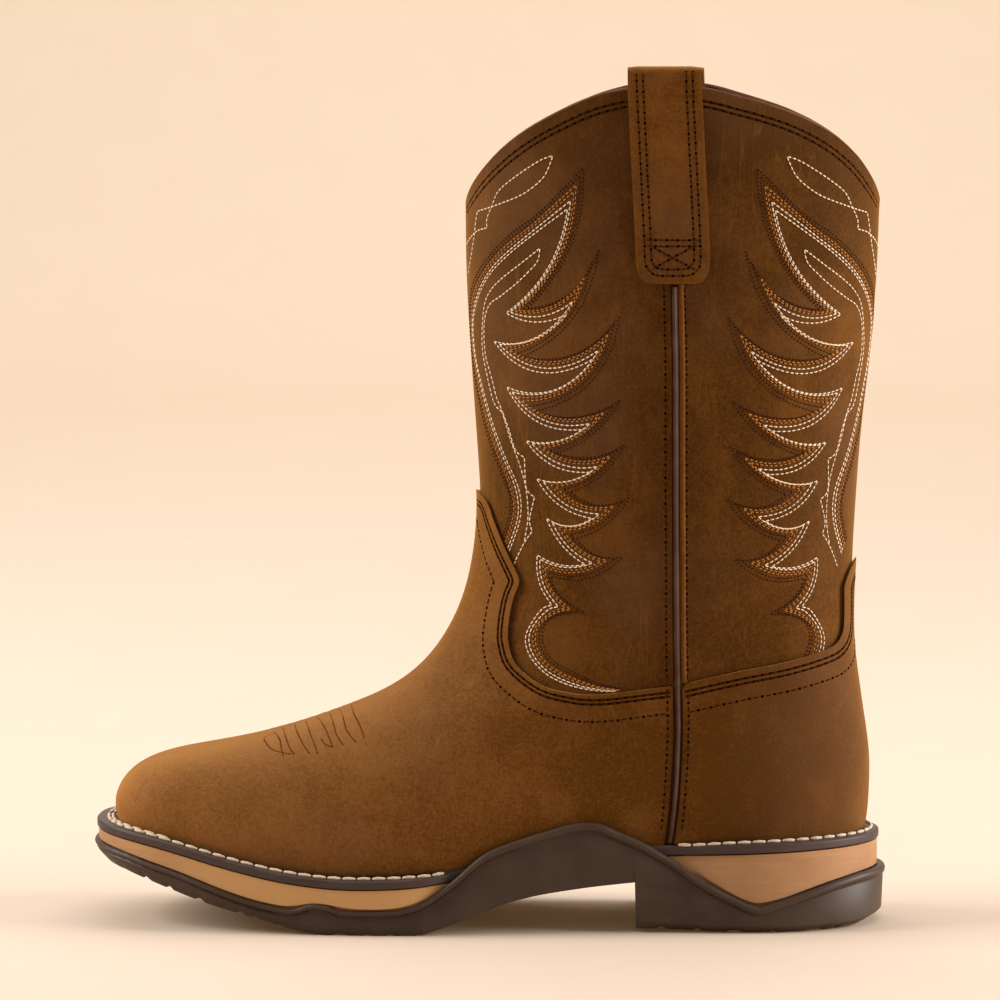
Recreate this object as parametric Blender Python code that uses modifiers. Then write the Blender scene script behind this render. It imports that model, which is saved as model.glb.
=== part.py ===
"""Pull-on western work boot for the left foot, as an assembly of separate pieces.

Metres, +Z up. The toe points to -X, the outer side faces -Y, and the origin is on the floor
under the middle of the heel. Sizes below are in millimetres and become metres in the meshes.
"""

import math
from collections import namedtuple

import bmesh
import bpy
import numpy as np

MM = 0.001

# Leather and clearance
GAP = 0.3
WALL = 2.4
OVERLAY = 1.2
COLUMNS = 44

# Sections of the upper, from the sole's edge to the collar
# foot is the share of the foot's plan, sag the share of the sole's dip, lift the collar's side rise
Section = namedtuple(
    "Section", "name front_x front_z back_x back_z half toe_power heel_power foot sag lift")
SECTIONS = (
    Section("feather", -234.1, 38.2, 37.0, 34.5, 44.0, 3.2, 2.3, 1.00, 1.00, 0.0),
    Section("toe_wall", -235.3, 43.2, 38.0, 40.3, 45.2, 3.2, 2.3, 1.00, 1.00, 0.0),
    Section("toe_bulge", -234.4, 47.5, 38.3, 47.0, 45.2, 3.1, 2.3, 1.00, 0.93, 0.0),
    Section("toe_shoulder", -231.2, 52.0, 38.6, 54.0, 44.4, 3.0, 2.3, 1.00, 0.82, 0.0),
    Section("toe_crown", -225.6, 55.7, 38.4, 61.0, 43.2, 2.9, 2.25, 0.97, 0.70, 0.0),
    Section("toe_top", -217.2, 58.5, 37.7, 67.0, 41.8, 2.8, 2.2, 0.92, 0.57, 0.0),
    Section("toe_box", -204.0, 60.8, 36.8, 73.0, 40.3, 2.6, 2.2, 0.85, 0.44, 0.0),
    Section("vamp_low", -188.0, 63.8, 35.8, 79.0, 38.9, 2.45, 2.15, 0.75, 0.32, 0.0),
    Section("ball", -170.0, 68.8, 34.8, 86.0, 37.6, 2.3, 2.1, 0.62, 0.21, 0.0),
    Section("vamp_high", -152.0, 75.3, 33.7, 93.0, 36.6, 2.2, 2.1, 0.47, 0.12, 0.0),
    Section("throat", -137.2, 81.5, 32.8, 101.0, 35.9, 2.1, 2.05, 0.32, 0.06, 0.0),
    Section("instep", -125.0, 89.5, 32.4, 109.0, 35.5, 2.05, 2.0, 0.18, 0.02, 0.0),
    Section("bend", -115.3, 100.8, 32.5, 119.0, 35.4, 2.0, 2.0, 0.07, 0.0, 0.0),
    Section("ankle", -107.8, 115.5, 33.0, 130.0, 35.7, 2.0, 2.0, 0.0, 0.0, 0.0),
    Section("shaft_foot", -104.0, 131.0, 33.5, 142.0, 36.2, 2.0, 2.0, 0.0, 0.0, 0.0),
    Section("shaft_narrow", -102.2, 148.0, 34.2, 154.0, 36.8, 2.0, 2.0, 0.0, 0.0, 0.0),
    Section("shaft_low", -102.9, 163.0, 35.0, 167.0, 37.4, 2.0, 2.0, 0.0, 0.0, 0.0),
    Section("shaft_mid", -104.2, 181.0, 36.4, 184.0, 38.2, 2.0, 2.0, 0.0, 0.0, 3.0),
    Section("shaft_calf", -105.8, 203.0, 38.6, 204.0, 39.0, 2.0, 2.0, 0.0, 0.0, 10.5),
    Section("shaft_high", -107.3, 226.0, 40.9, 226.0, 39.8, 2.0, 2.0, 0.0, 0.0, 21.5),
    Section("under_collar", -108.0, 246.0, 41.9, 246.0, 40.5, 2.0, 2.0, 0.0, 0.0, 33.0),
    Section("collar", -107.8, 262.0, 42.2, 262.0, 41.0, 2.0, 2.0, 0.0, 0.0, 43.5),
)
SCALLOP_POWER = 1.4

# Plan of the foot, as shares of an even oval's half width, from toe (0) to heel (1)
Plan = namedtuple("Plan", "share outer inner")
FOOT_PLAN = (
    Plan(0.000, 1.06, 1.26),
    Plan(0.035, 1.06, 1.24),
    Plan(0.100, 1.01, 1.09),
    Plan(0.200, 1.02, 1.035),
    Plan(0.270, 1.035, 1.015),
    Plan(0.350, 1.053, 0.96),
    Plan(0.420, 1.02, 0.885),
    Plan(0.500, 0.955, 0.81),
    Plan(0.640, 0.845, 0.735),
    Plan(0.790, 0.88, 0.80),
    Plan(0.900, 1.05, 0.97),
    Plan(1.000, 1.10, 1.05),
)

# Heights of the sole along its length
Height = namedtuple("Height", "x z")
WELT_TOP = (
    Height(-246, 40.1), Height(-226, 36.3), Height(-206, 30.8), Height(-187, 26.0),
    Height(-168, 22.3), Height(-148, 20.6), Height(-129, 21.0), Height(-112, 22.8),
    Height(-100, 24.3), Height(-60, 29.6), Height(-25, 32.0), Height(10, 33.3), Height(48, 34.5),
)
RIM_TOP = (
    Height(-246, 31.6), Height(-232, 28.7), Height(-221, 24.9), Height(-211, 21.6),
    Height(-200, 17.6), Height(-187, 13.2), Height(-177, 10.7), Height(-168, 9.4),
    Height(-161, 11.4), Height(-155, 10.9), Height(-149, 9.1), Height(-133, 9.2),
    Height(-127, 10.0), Height(-119.5, 12.6), Height(-109.5, 20.0), Height(-101, 27.4),
    Height(-95, 31.0), Height(-85, 34.6), Height(-74, 37.9), Height(-66, 39.9),
    Height(-58, 40.0), Height(-51, 37.2), Height(-42, 33.2), Height(-33, 28.0),
    Height(-23, 21.8), Height(-12, 16.2), Height(-1, 11.8), Height(5, 12.2),
    Height(16, 14.9), Height(28, 18.0), Height(38, 20.0), Height(48, 20.6),
)
TREAD = (
    Height(-246, 25.6), Height(-235, 21.4), Height(-221, 17.4), Height(-204, 12.5),
    Height(-191, 8.6), Height(-178, 4.8), Height(-168, 1.9), Height(-158, 0.0), Height(-100, 0.0),
    Height(-46, 0.9), Height(-16, 0.0), Height(27, 0.0), Height(36, 1.2), Height(50, 6.5),
)
BED = (
    Height(-246, 29.0), Height(-221, 22.2), Height(-204, 16.4), Height(-187, 10.6),
    Height(-177, 8.2), Height(-168, 7.0), Height(-150, 6.4), Height(-128, 6.8), Height(-112, 9.6),
    Height(-99, 13.2), Height(-81, 17.8), Height(-60, 20.6), Height(-45, 21.6),
    Height(-36, 16.0), Height(-26, 9.5), Height(-18, 7.6), Height(48, 7.6),
)
ARCH = (
    Height(-120, 0.0), Height(-112, 3.7), Height(-99, 8.6), Height(-90, 11.8),
    Height(-80, 14.0), Height(-66, 16.1), Height(-56, 17.3), Height(-44.4, 18.5),
)
HEEL_BREAST_X = -44.4

# Margins of the sole's pieces outside the upper's lower edge, along the length
Margin = namedtuple("Margin", "x welt midsole rim bed tread")
MARGINS = (
    Margin(-236, 8.6, 8.0, 9.6, 5.9, 6.3),
    Margin(-212, 7.2, 6.5, 8.2, 4.9, 5.7),
    Margin(-121, 7.0, 6.3, 7.4, 4.6, 5.6),
    Margin(-115, 5.6, 2.6, 6.9, 3.5, 5.3),
    Margin(-111, 2.2, 1.9, 6.4, 3.2, 5.0),
    Margin(-60, 2.2, 1.9, 6.4, 3.1, 4.0),
    Margin(-30, 2.2, 1.9, 6.4, 3.1, 2.0),
    Margin(-24, 4.0, 2.4, 7.1, 3.2, 2.4),
    Margin(-17, 6.5, 5.9, 7.8, 3.8, 2.8),
    Margin(10, 6.8, 6.3, 8.6, 4.4, 3.4),
    Margin(55, 7.2, 6.6, 9.6, 4.8, 1.6),
)
SOLE_STATIONS = 44
WELT_THICK = 4.0
WELT_SLOPE = 0.9
WELT_INSIDE = -2.8
WELT_CREST = 1.6
INSOLE_INSIDE = -3.2
INSOLE_RISE = 2.5
FLANGE_LEAST = 0.5
BEAD_HIGH = 3.2
BEAD_PROUD = 0.9
BEAD_EDGE = 0.6
TREAD_ROUND = 2.4

# Grooves between the lugs of the tread
GROOVE_WIDE = 4.0
GROOVE_DEEP = 1.7
GROOVE_CLEAR = 9.0
SOLE_REACH = 80.0
BELOW_TREAD = 6.0
FOREFOOT_GROOVES = (-231.0, -123.0, 10.8)
HEEL_GROOVES = (-35.0, 30.0, 13.0)

# Edges of the vamp and the counter seen from the side, and the side seam with its piping
Edge = namedtuple("Edge", "x z")
VAMP_SIDE = (
    Edge(-31, 85.8), Edge(-57.4, 85.3), Edge(-71.8, 87.4), Edge(-80.8, 90.9), Edge(-87.0, 96.3),
    Edge(-90.6, 103.6), Edge(-91.3, 112.6), Edge(-89.8, 121.7), Edge(-87.7, 128.2),
)
VAMP_TONGUE = (Edge(-87.7, 128.2), Edge(-93.0, 140.0), Edge(-98.5, 148.5), Edge(-112.0, 160.0))
COUNTER_SIDE = (
    Edge(-31, 85.8), Edge(-7.1, 90.4), Edge(7.3, 94.1), Edge(18.0, 97.8), Edge(25.9, 102.9),
    Edge(29.8, 111.2), Edge(30.5, 120.3), Edge(30.8, 126.4),
)
COUNTER_TAB = (Edge(30.8, 126.4), Edge(33.2, 131.5), Edge(39.0, 136.5))
Seam = namedtuple("Seam", "z x")
SEAM = (
    Seam(30.0, -33.0), Seam(41.2, -31.3), Seam(62.9, -29.8), Seam(88.0, -30.2),
    Seam(157.0, -31.0), Seam(232.0, -33.0), Seam(310.0, -33.5),
)
SEAM_SLOT = 2.0
PIPING_WIDE = 3.0
PIPING_HIGH = 2.0
PIPING_TOP = 232.8
PIPING_CLEAR = 0.4
PIPING_SIDES = 4
OVERLAY_LIFT = 0.4

# Rows of sections and columns past the side that the overlays are cut from
VAMP_ROWS = 18
VAMP_PAST_SIDE = 6
COUNTER_ROWS = 17
COUNTER_PAST_SIDE = 3

# Pull straps
STRAP_WIDE = 25.0
STRAP_THICK = 2.2
STRAP_FOOT = 233.5
STRAP_INSIDE_FOOT = 262.0
STRAP_CLEAR = 0.4
STRAP_CORNER = 6.0
STRAP_ACROSS = 4

# Colours and finish of the materials
Finish = namedtuple("Finish", "colour roughness")
LEATHER = Finish((0.150, 0.062, 0.022), 0.62)
DARK_LEATHER = Finish((0.060, 0.028, 0.016), 0.55)
WELT_RUBBER = Finish((0.035, 0.018, 0.014), 0.50)
TAN_RUBBER = Finish((0.430, 0.225, 0.100), 0.60)
SOLE_RUBBER = Finish((0.030, 0.017, 0.011), 0.55)
INSOLE_CLOTH = Finish((0.060, 0.045, 0.035), 0.90)


def smooth(table, x, column="z"):
    """Value at x of a smooth curve through a table's rows, with no overshoot."""
    xs = [row[0] for row in table]
    ys = [getattr(row, column) for row in table]
    x = min(max(x, xs[0]), xs[-1])
    i = max(k for k in range(len(xs) - 1) if xs[k] <= x)
    steps = [(ys[k + 1] - ys[k]) / (xs[k + 1] - xs[k]) for k in range(len(xs) - 1)]

    def slope(k):
        if k == 0:
            return steps[0]
        if k == len(steps):
            return steps[-1]
        before, after = steps[k - 1], steps[k]
        return 0.0 if before * after <= 0 else 2 * before * after / (before + after)

    run = xs[i + 1] - xs[i]
    t = (x - xs[i]) / run
    start = ys[i] * (1 + 2 * t) * (1 - t) ** 2 + slope(i) * run * t * (1 - t) ** 2
    return start + ys[i + 1] * t * t * (3 - 2 * t) + slope(i + 1) * run * t * t * (t - 1)


def round_through(points, steps=2):
    """Points of a smooth line that passes through the given corner points."""
    ends = [points[0]] + list(points) + [points[-1]]
    line = []
    for k in range(1, len(ends) - 2):
        before, start, end, after = (np.array(ends[k + n]) for n in (-1, 0, 1, 2))
        for step in range(steps):
            t = step / steps
            line.append(tuple(0.5 * (2 * start + (end - before) * t
                                     + (2 * before - 5 * start + 4 * end - after) * t ** 2
                                     + (3 * start - before - 3 * end + after) * t ** 3)))
    return line + [tuple(points[-1])]


# The upper's surface

def section_at(section, share, outer):
    """Point of one section at a share of its length, on the outer or the inner side."""
    x = section.front_x + (section.back_x - section.front_x) * share
    power = section.toe_power if share < 0.5 else section.heel_power
    fullness = max(0.0, 1 - abs(1 - 2 * share) ** power) ** (1 / power)
    plan = smooth(FOOT_PLAN, share, "outer" if outer else "inner")
    half = section.half * fullness * (1 + section.foot * (plan - 1))
    dip = smooth(WELT_TOP, x) - (smooth(WELT_TOP, section.front_x) * (1 - share)
                                 + smooth(WELT_TOP, section.back_x) * share)
    round_side = 2 * math.sqrt(max(0.0, share * (1 - share)))
    level = section.front_z * (1 - share) + section.back_z * share
    z = level + section.sag * dip + section.lift * round_side ** SCALLOP_POWER
    return (x, -half if outer else half, z)


def section_points(section):
    """One closed section, from the front round the outer side, the back and the inner side."""
    points = []
    for column in range(COLUMNS):
        turn = column / COLUMNS
        share = (1 - math.cos(2 * math.pi * turn)) / 2
        points.append(section_at(section, share, turn <= 0.5))
    return points


def upper_lattice():
    """The upper's outer surface as rows of points, and the normal at each point."""
    grid = np.array([section_points(section) for section in SECTIONS])
    around = np.roll(grid, -1, axis=1) - np.roll(grid, 1, axis=1)
    rising = np.gradient(grid, axis=0)
    normals = np.cross(around, rising)
    normals[0, :, 2] = 0.0
    normals[-1, :, 2] = 0.0
    return grid, normals / np.linalg.norm(normals, axis=2, keepdims=True)


GRID, NORMALS = upper_lattice()


def seam_line(outer):
    """Places and normals along the side seam, one for each section of the upper."""
    line = []
    for row, section in enumerate(SECTIONS):
        x = SEAM[0].x
        for _ in range(4):
            share = (x - section.front_x) / (section.back_x - section.front_x)
            place = section_at(section, share, outer)
            x = smooth(SEAM, place[2], "x")
        column = round(COLUMNS * math.acos(1 - 2 * share) / (2 * math.pi))
        line.append((np.array(place), NORMALS[row, column if outer else -column]))
    return line


def shaft_half_width(x, z):
    """Half width of the shaft's outer face near its side, at a height."""
    places = []
    for section in SECTIONS[-7:]:
        share = (x - section.front_x) / (section.back_x - section.front_x)
        places.append(section_at(section, share, False))
    return float(np.interp(z, [p[2] for p in places], [p[1] for p in places]))


# Meshes and objects

def collection_named(name):
    collection = bpy.data.collections.new(name)
    bpy.context.scene.collection.children.link(collection)
    return collection


def material_of(name, finish):
    material = bpy.data.materials.new(name)
    material.use_nodes = True
    shader = material.node_tree.nodes["Principled BSDF"]
    shader.inputs["Base Color"].default_value = (*finish.colour, 1.0)
    shader.inputs["Roughness"].default_value = finish.roughness
    return material


def object_from(name, mesh, material, collection):
    piece = bpy.data.objects.new(name, mesh)
    if material is not None:
        mesh.materials.append(material)
    collection.objects.link(piece)
    return piece


def loft(name, loops, wrap_loops=False, wrap_points=True, ladder_ends=False, flat_ends=False):
    """Faces between loops of points. Ladder ends join a loop's two sides, flat ends fill a ring."""
    shape = bmesh.new()
    rows = [[shape.verts.new([c * MM for c in point]) for point in loop] for loop in loops]
    count = len(rows[0])
    for k in range(len(rows) if wrap_loops else len(rows) - 1):
        low, high = rows[k], rows[(k + 1) % len(rows)]
        for i in range(count if wrap_points else count - 1):
            j = (i + 1) % count
            shape.faces.new((low[i], low[j], high[j], high[i]))
    if ladder_ends:
        for row in (rows[0], rows[-1]):
            for i in range(count // 2):
                rung = [row[i], row[i + 1], row[-i - 1], row[-i]]
                shape.faces.new(list(dict.fromkeys(rung)))
    if flat_ends:
        shape.faces.new(rows[0])
        shape.faces.new(rows[-1])
    if wrap_loops or ladder_ends or flat_ends:
        bmesh.ops.recalc_face_normals(shape, faces=shape.faces)
    mesh = bpy.data.meshes.new(name)
    shape.to_mesh(mesh)
    shape.free()
    mesh.shade_smooth()
    mesh.set_sharp_from_angle(angle=math.radians(40))
    return mesh


def thicken(piece, thickness, outward):
    solidify = piece.modifiers.new("wall", "SOLIDIFY")
    solidify.thickness = thickness * MM
    solidify.offset = 1.0 if outward else -1.0


def prism(name, outlines, y_from, y_to, collection):
    """A closed cutter: outlines in the side view, extruded across the boot."""
    curve = bpy.data.curves.new(name, "CURVE")
    curve.dimensions = "2D"
    curve.fill_mode = "BOTH"
    curve.extrude = abs(y_to - y_from) / 2 * MM
    for outline in outlines:
        spline = curve.splines.new("POLY")
        spline.points.add(len(outline) - 1)
        for point, (x, z) in zip(spline.points, outline):
            point.co = (x * MM, z * MM, 0, 1)
        spline.use_cyclic_u = True
    holder = bpy.data.objects.new(name + "_outline", curve)
    collection.objects.link(holder)
    holder.rotation_euler.x = math.radians(90)
    holder.location.y = (y_from + y_to) / 2 * MM
    bpy.context.view_layer.update()
    solid = holder.evaluated_get(bpy.context.evaluated_depsgraph_get())
    mesh = bpy.data.meshes.new_from_object(solid)
    mesh.transform(holder.matrix_world)
    bpy.data.objects.remove(holder)
    shape = bmesh.new()
    shape.from_mesh(mesh)
    bmesh.ops.remove_doubles(shape, verts=shape.verts, dist=1e-6)
    bmesh.ops.recalc_face_normals(shape, faces=shape.faces)
    shape.to_mesh(mesh)
    shape.free()
    cutter = object_from(name, mesh, None, collection)
    cutter.hide_render = True
    cutter.display_type = "WIRE"
    return cutter


def cut(piece, cutter, operation):
    boolean = piece.modifiers.new(cutter.name, "BOOLEAN")
    boolean.solver = "EXACT"
    boolean.operation = operation
    boolean.object = cutter


# Upper, vamp and counter

def make_upper(parts, leather):
    piece = object_from("upper", loft("upper", GRID), leather, parts)
    thicken(piece, WALL, outward=False)


def overlay_patch(name, first_column, last_column, last_row):
    """A stretch of the upper's surface, just clear of it and of the welt."""
    columns = [c % COLUMNS for c in range(first_column, last_column + 1)]
    patch = GRID[:last_row, columns] + GAP * NORMALS[:last_row, columns]
    patch[0, :, 2] += OVERLAY_LIFT
    return loft(name, patch, wrap_points=False)


def seam_edge(shift, top):
    """The side seam's line from below the sole's edge up to a height, moved along X."""
    line = [(smooth(SEAM, z, "x") + shift, z) for z in np.linspace(SEAM[0].z, top, 6)]
    return [(line[0][0], 0.0)] + line


def make_vamp(parts, cutters, leather):
    quarter = COLUMNS // 4
    last = quarter + VAMP_PAST_SIDE
    mesh = overlay_patch("vamp", -last, last, VAMP_ROWS)
    piece = object_from("vamp", mesh, leather, parts)
    thicken(piece, OVERLAY, outward=True)
    seam = seam_edge(-SEAM_SLOT, VAMP_SIDE[0].z)
    edge = round_through(VAMP_SIDE)[2:] + round_through(VAMP_TONGUE)[1:]
    front = SECTIONS[1].front_x - SOLE_REACH
    outline = seam + edge + [(front, edge[-1][1]), (front, 0.0)]
    cut(piece, prism("vamp_pattern", [outline], -SOLE_REACH, SOLE_REACH, cutters), "INTERSECT")


def make_counter(parts, cutters, leather):
    quarter = COLUMNS // 4
    first = quarter - COUNTER_PAST_SIDE
    mesh = overlay_patch("counter", first, COLUMNS - first, COUNTER_ROWS)
    piece = object_from("counter", mesh, leather, parts)
    thicken(piece, OVERLAY, outward=True)
    seam = seam_edge(SEAM_SLOT, COUNTER_SIDE[0].z)
    edge = round_through(COUNTER_SIDE)[1:] + round_through(COUNTER_TAB)[1:]
    back = SECTIONS[1].back_x + SOLE_REACH
    outline = seam + edge + [(back, edge[-1][1]), (back, 0.0)]
    cut(piece, prism("counter_pattern", [outline], -SOLE_REACH, SOLE_REACH, cutters), "INTERSECT")


def make_piping(name, outer, parts, leather):
    """A half-round strip along the side seam, from the welt to the strap's foot."""
    line = seam_line(outer)
    heights = [place[2] for place, _ in line]
    below = [k for k, height in enumerate(heights) if height < PIPING_TOP]
    share = (PIPING_TOP - heights[below[-1]]) / (heights[below[-1] + 1] - heights[below[-1]])
    top = line[below[-1]][0] * (1 - share) + line[below[-1] + 1][0] * share
    spine = [line[k] for k in below] + [(top, line[below[-1]][1])]
    rings = []
    for place, normal in spine:
        ring = []
        for step in range(PIPING_SIDES + 1):
            turn = math.pi * step / PIPING_SIDES
            along = np.array((math.cos(turn) * PIPING_WIDE / 2, 0.0, 0.0))
            ring.append(place + along + normal * (PIPING_CLEAR + math.sin(turn) * PIPING_HIGH))
        rings.append(ring)
    for point in rings[0]:
        point[2] += OVERLAY_LIFT
    object_from(name, loft(name, rings, flat_ends=True), leather, parts)


def strap_half_width(distance):
    """Half the strap's width at a distance from its end, with rounded corners."""
    into = max(0.0, STRAP_CORNER - distance)
    return STRAP_WIDE / 2 - STRAP_CORNER + math.sqrt(max(0.0, STRAP_CORNER ** 2 - into ** 2))


def make_pull_strap(name, outer, parts, leather):
    """A strap sewn outside the shaft, folded over the collar and down the inside."""
    peak = GRID[-1, COLUMNS // 4, 2] + STRAP_CLEAR
    ends = (0.4, 2.0, STRAP_CORNER, 14.0)
    outside = [STRAP_FOOT + d for d in ends] + list(np.linspace(STRAP_FOOT + 28.0, peak, 5))
    inside = list(np.linspace(peak, STRAP_INSIDE_FOOT + 14.0, 4)) + [
        STRAP_INSIDE_FOOT + d for d in reversed(ends[:-1])]
    fold = (WALL + 2 * STRAP_CLEAR) / 2
    path = [(z, STRAP_CLEAR, z - STRAP_FOOT) for z in outside]
    for step in range(1, 4):
        turn = math.pi * step / 4
        path.append((peak + fold * math.sin(turn), STRAP_CLEAR - fold * (1 - math.cos(turn)), STRAP_WIDE))
    path += [(z, -WALL - STRAP_CLEAR, z - STRAP_INSIDE_FOOT) for z in inside]
    rows = []
    for z, stand_off, distance in path:
        half = strap_half_width(distance)
        row = []
        for across in np.linspace(-half, half, STRAP_ACROSS):
            x = smooth(SEAM, z, "x") + across
            width = shaft_half_width(x, min(z, peak - STRAP_CLEAR)) + stand_off
            row.append((x, -width if outer else width, z))
        rows.append(row)
    if not outer:
        rows = [row[::-1] for row in rows]
    piece = object_from(name, loft(name, rows, wrap_points=False), leather, parts)
    thicken(piece, STRAP_THICK, outward=True)


# Sole

def sole_outline():
    """Stations evenly spaced round the upper's lower edge, with their outward directions in plan."""
    fine = 600
    shares = [(1 - math.cos(math.pi * k / fine)) / 2 for k in range(fine + 1)]
    sides = [np.array([section_at(SECTIONS[0], s, outer)[:2] for s in shares]) for outer in (True, False)]
    steps = sum(np.linalg.norm(np.diff(side, axis=0), axis=1) for side in sides) / 2
    travelled = np.concatenate([[0.0], np.cumsum(steps)])
    even = np.interp(np.linspace(0, travelled[-1], SOLE_STATIONS + 1), travelled, shares)
    shares_round = list(even) + list(even[-2:0:-1])
    outline = np.array([section_at(SECTIONS[0], s, k <= SOLE_STATIONS)[:2]
                        for k, s in enumerate(shares_round)])
    along = np.roll(outline, -1, axis=0) - np.roll(outline, 1, axis=0)
    outward = np.stack([along[:, 1], -along[:, 0]], axis=1)
    return outline, outward / np.linalg.norm(outward, axis=1, keepdims=True)


OUTLINE, OUTWARD = sole_outline()


def sole_loop(margin, height):
    """A loop round the sole: margin and height are functions of the length, or a plain margin."""
    points = []
    for place, outward in zip(OUTLINE, OUTWARD):
        x, y = place + outward * (margin(place[0]) if callable(margin) else margin)
        points.append((x, y, height(x)))
    return points


def margin_of(column, extra=0.0):
    return lambda x: float(np.interp(x, [m.x for m in MARGINS], [getattr(m, column) for m in MARGINS])) + extra


def height_of(table, extra=0.0):
    return lambda x: smooth(table, x) + extra


def make_welt(parts, rubber):
    """A strip whose top slopes down and out from the upper's edge."""
    bottom = height_of(WELT_TOP, -WELT_THICK)
    loops = [
        sole_loop(WELT_INSIDE, height_of(WELT_TOP)),
        sole_loop(WELT_CREST, height_of(WELT_TOP)),
        sole_loop(margin_of("welt"), height_of(WELT_TOP, -WELT_SLOPE)),
        sole_loop(margin_of("welt"), bottom),
        sole_loop(WELT_INSIDE, bottom),
    ]
    object_from("welt", loft("welt", loops, wrap_loops=True), rubber, parts)


def make_insole(parts, cloth):
    loops = [
        sole_loop(INSOLE_INSIDE, height_of(WELT_TOP, -WELT_THICK)),
        sole_loop(INSOLE_INSIDE, height_of(WELT_TOP, INSOLE_RISE)),
    ]
    object_from("insole", loft("insole", loops, ladder_ends=True), cloth, parts)


def make_midsole(parts, rubber):
    """The tan layer: its bed sits inside the outsole and its flange shows above the rim."""
    top = height_of(WELT_TOP, -WELT_THICK - GAP)
    rim = height_of(RIM_TOP, 2 * GAP)

    def flange(x):
        return min(rim(x), top(x) - FLANGE_LEAST)

    def bed_margin(x):
        return min(margin_of("bed", -GAP)(x), margin_of("midsole")(x))

    loops = [
        sole_loop(bed_margin, height_of(BED, GAP)),
        sole_loop(bed_margin, flange),
        sole_loop(margin_of("midsole"), flange),
        sole_loop(margin_of("midsole"), top),
    ]
    object_from("midsole", loft("midsole", loops, ladder_ends=True), rubber, parts)


def groove_outlines():
    """Sections of the grooves between lugs, each set into the tread where it crosses."""
    half = GROOVE_WIDE / 2
    outlines = []
    for first, last, pitch in (FOREFOOT_GROOVES, HEEL_GROOVES):
        for x in np.arange(first, last, pitch):
            low, high = smooth(TREAD, x) - BELOW_TREAD, smooth(TREAD, x) + GROOVE_DEEP
            outlines.append([(x - half, low), (x + half, low), (x + half, high), (x - half, high)])
    return outlines


def make_outsole(parts, cutters, rubber):
    """Tread, heel and shank wings in one moulding, with a bead along its upper rim."""
    under_bead = height_of(RIM_TOP, -BEAD_HIGH - BEAD_EDGE)

    def lower_wall(x):
        return min(smooth(TREAD, x) + TREAD_ROUND, under_bead(x) - BEAD_EDGE)

    loops = [
        sole_loop(margin_of("tread"), height_of(TREAD)),
        sole_loop(margin_of("rim", -BEAD_PROUD - BEAD_EDGE), lower_wall),
        sole_loop(margin_of("rim", -BEAD_PROUD), under_bead),
        sole_loop(margin_of("rim"), height_of(RIM_TOP, -BEAD_HIGH)),
        sole_loop(margin_of("rim"), height_of(RIM_TOP, -BEAD_EDGE)),
        sole_loop(margin_of("rim", -BEAD_EDGE), height_of(RIM_TOP)),
        sole_loop(margin_of("bed"), height_of(RIM_TOP)),
        sole_loop(margin_of("bed"), height_of(BED)),
    ]
    piece = object_from("outsole", loft("outsole", loops, ladder_ends=True), rubber, parts)
    arch = [(ARCH[0].x, -BELOW_TREAD)] + [tuple(h) for h in ARCH] + [(HEEL_BREAST_X, -BELOW_TREAD)]
    cut(piece, prism("arch_void", [arch], -SOLE_REACH, SOLE_REACH, cutters), "DIFFERENCE")
    for label, side in (("outer", -1), ("inner", 1)):
        y_from, y_to = sorted((side * GROOVE_CLEAR, side * SOLE_REACH))
        cut(piece, prism(f"grooves_{label}", groove_outlines(), y_from, y_to, cutters), "DIFFERENCE")


def main():
    for item in list(bpy.data.objects):
        bpy.data.objects.remove(item)
    parts = collection_named("waterproof_boot")
    cutters = collection_named("cutters")
    leather = material_of("brown_leather", LEATHER)
    dark_leather = material_of("dark_leather", DARK_LEATHER)
    welt_rubber = material_of("welt_rubber", WELT_RUBBER)
    tan_rubber = material_of("tan_rubber", TAN_RUBBER)
    sole_rubber = material_of("sole_rubber", SOLE_RUBBER)
    insole_cloth = material_of("insole_cloth", INSOLE_CLOTH)
    make_upper(parts, leather)
    make_vamp(parts, cutters, leather)
    make_counter(parts, cutters, leather)
    for label, outer in (("outer", True), ("inner", False)):
        make_piping(f"side_piping_{label}", outer, parts, dark_leather)
        make_pull_strap(f"pull_strap_{label}", outer, parts, leather)
    make_insole(parts, insole_cloth)
    make_welt(parts, welt_rubber)
    make_midsole(parts, tan_rubber)
    make_outsole(parts, cutters, sole_rubber)


main()
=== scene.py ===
# %% [markdown]
# # A pull-on western boot, dressed over its solid model
# The frame below holds the boot's plain solids: upper, overlays, straps and sole. This lesson
# copies each of them, rounds it, gives it leather or rubber, and sews on the rows of thread.
# Every piece keeps the place and size of its solid, so the two models stay one boot.

# %% Load the solids
import math
from collections import namedtuple
from contextlib import contextmanager

import bmesh
import bpy
import numpy as np
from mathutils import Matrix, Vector
from mathutils.bvhtree import BVHTree


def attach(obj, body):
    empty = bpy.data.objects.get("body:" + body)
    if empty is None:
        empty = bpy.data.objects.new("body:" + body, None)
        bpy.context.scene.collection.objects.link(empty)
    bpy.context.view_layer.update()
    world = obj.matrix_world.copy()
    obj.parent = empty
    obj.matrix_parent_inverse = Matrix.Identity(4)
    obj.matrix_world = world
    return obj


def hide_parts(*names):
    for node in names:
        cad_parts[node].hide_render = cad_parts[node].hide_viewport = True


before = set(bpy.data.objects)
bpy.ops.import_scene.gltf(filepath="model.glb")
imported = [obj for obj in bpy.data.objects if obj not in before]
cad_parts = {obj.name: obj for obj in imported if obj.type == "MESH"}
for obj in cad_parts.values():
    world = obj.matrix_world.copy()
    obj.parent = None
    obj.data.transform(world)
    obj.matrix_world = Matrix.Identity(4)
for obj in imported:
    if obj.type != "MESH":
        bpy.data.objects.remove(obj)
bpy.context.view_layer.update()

MM = 0.001
OUTER, INNER = -1, 1
print("solids:", ", ".join(sorted(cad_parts)))

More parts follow.
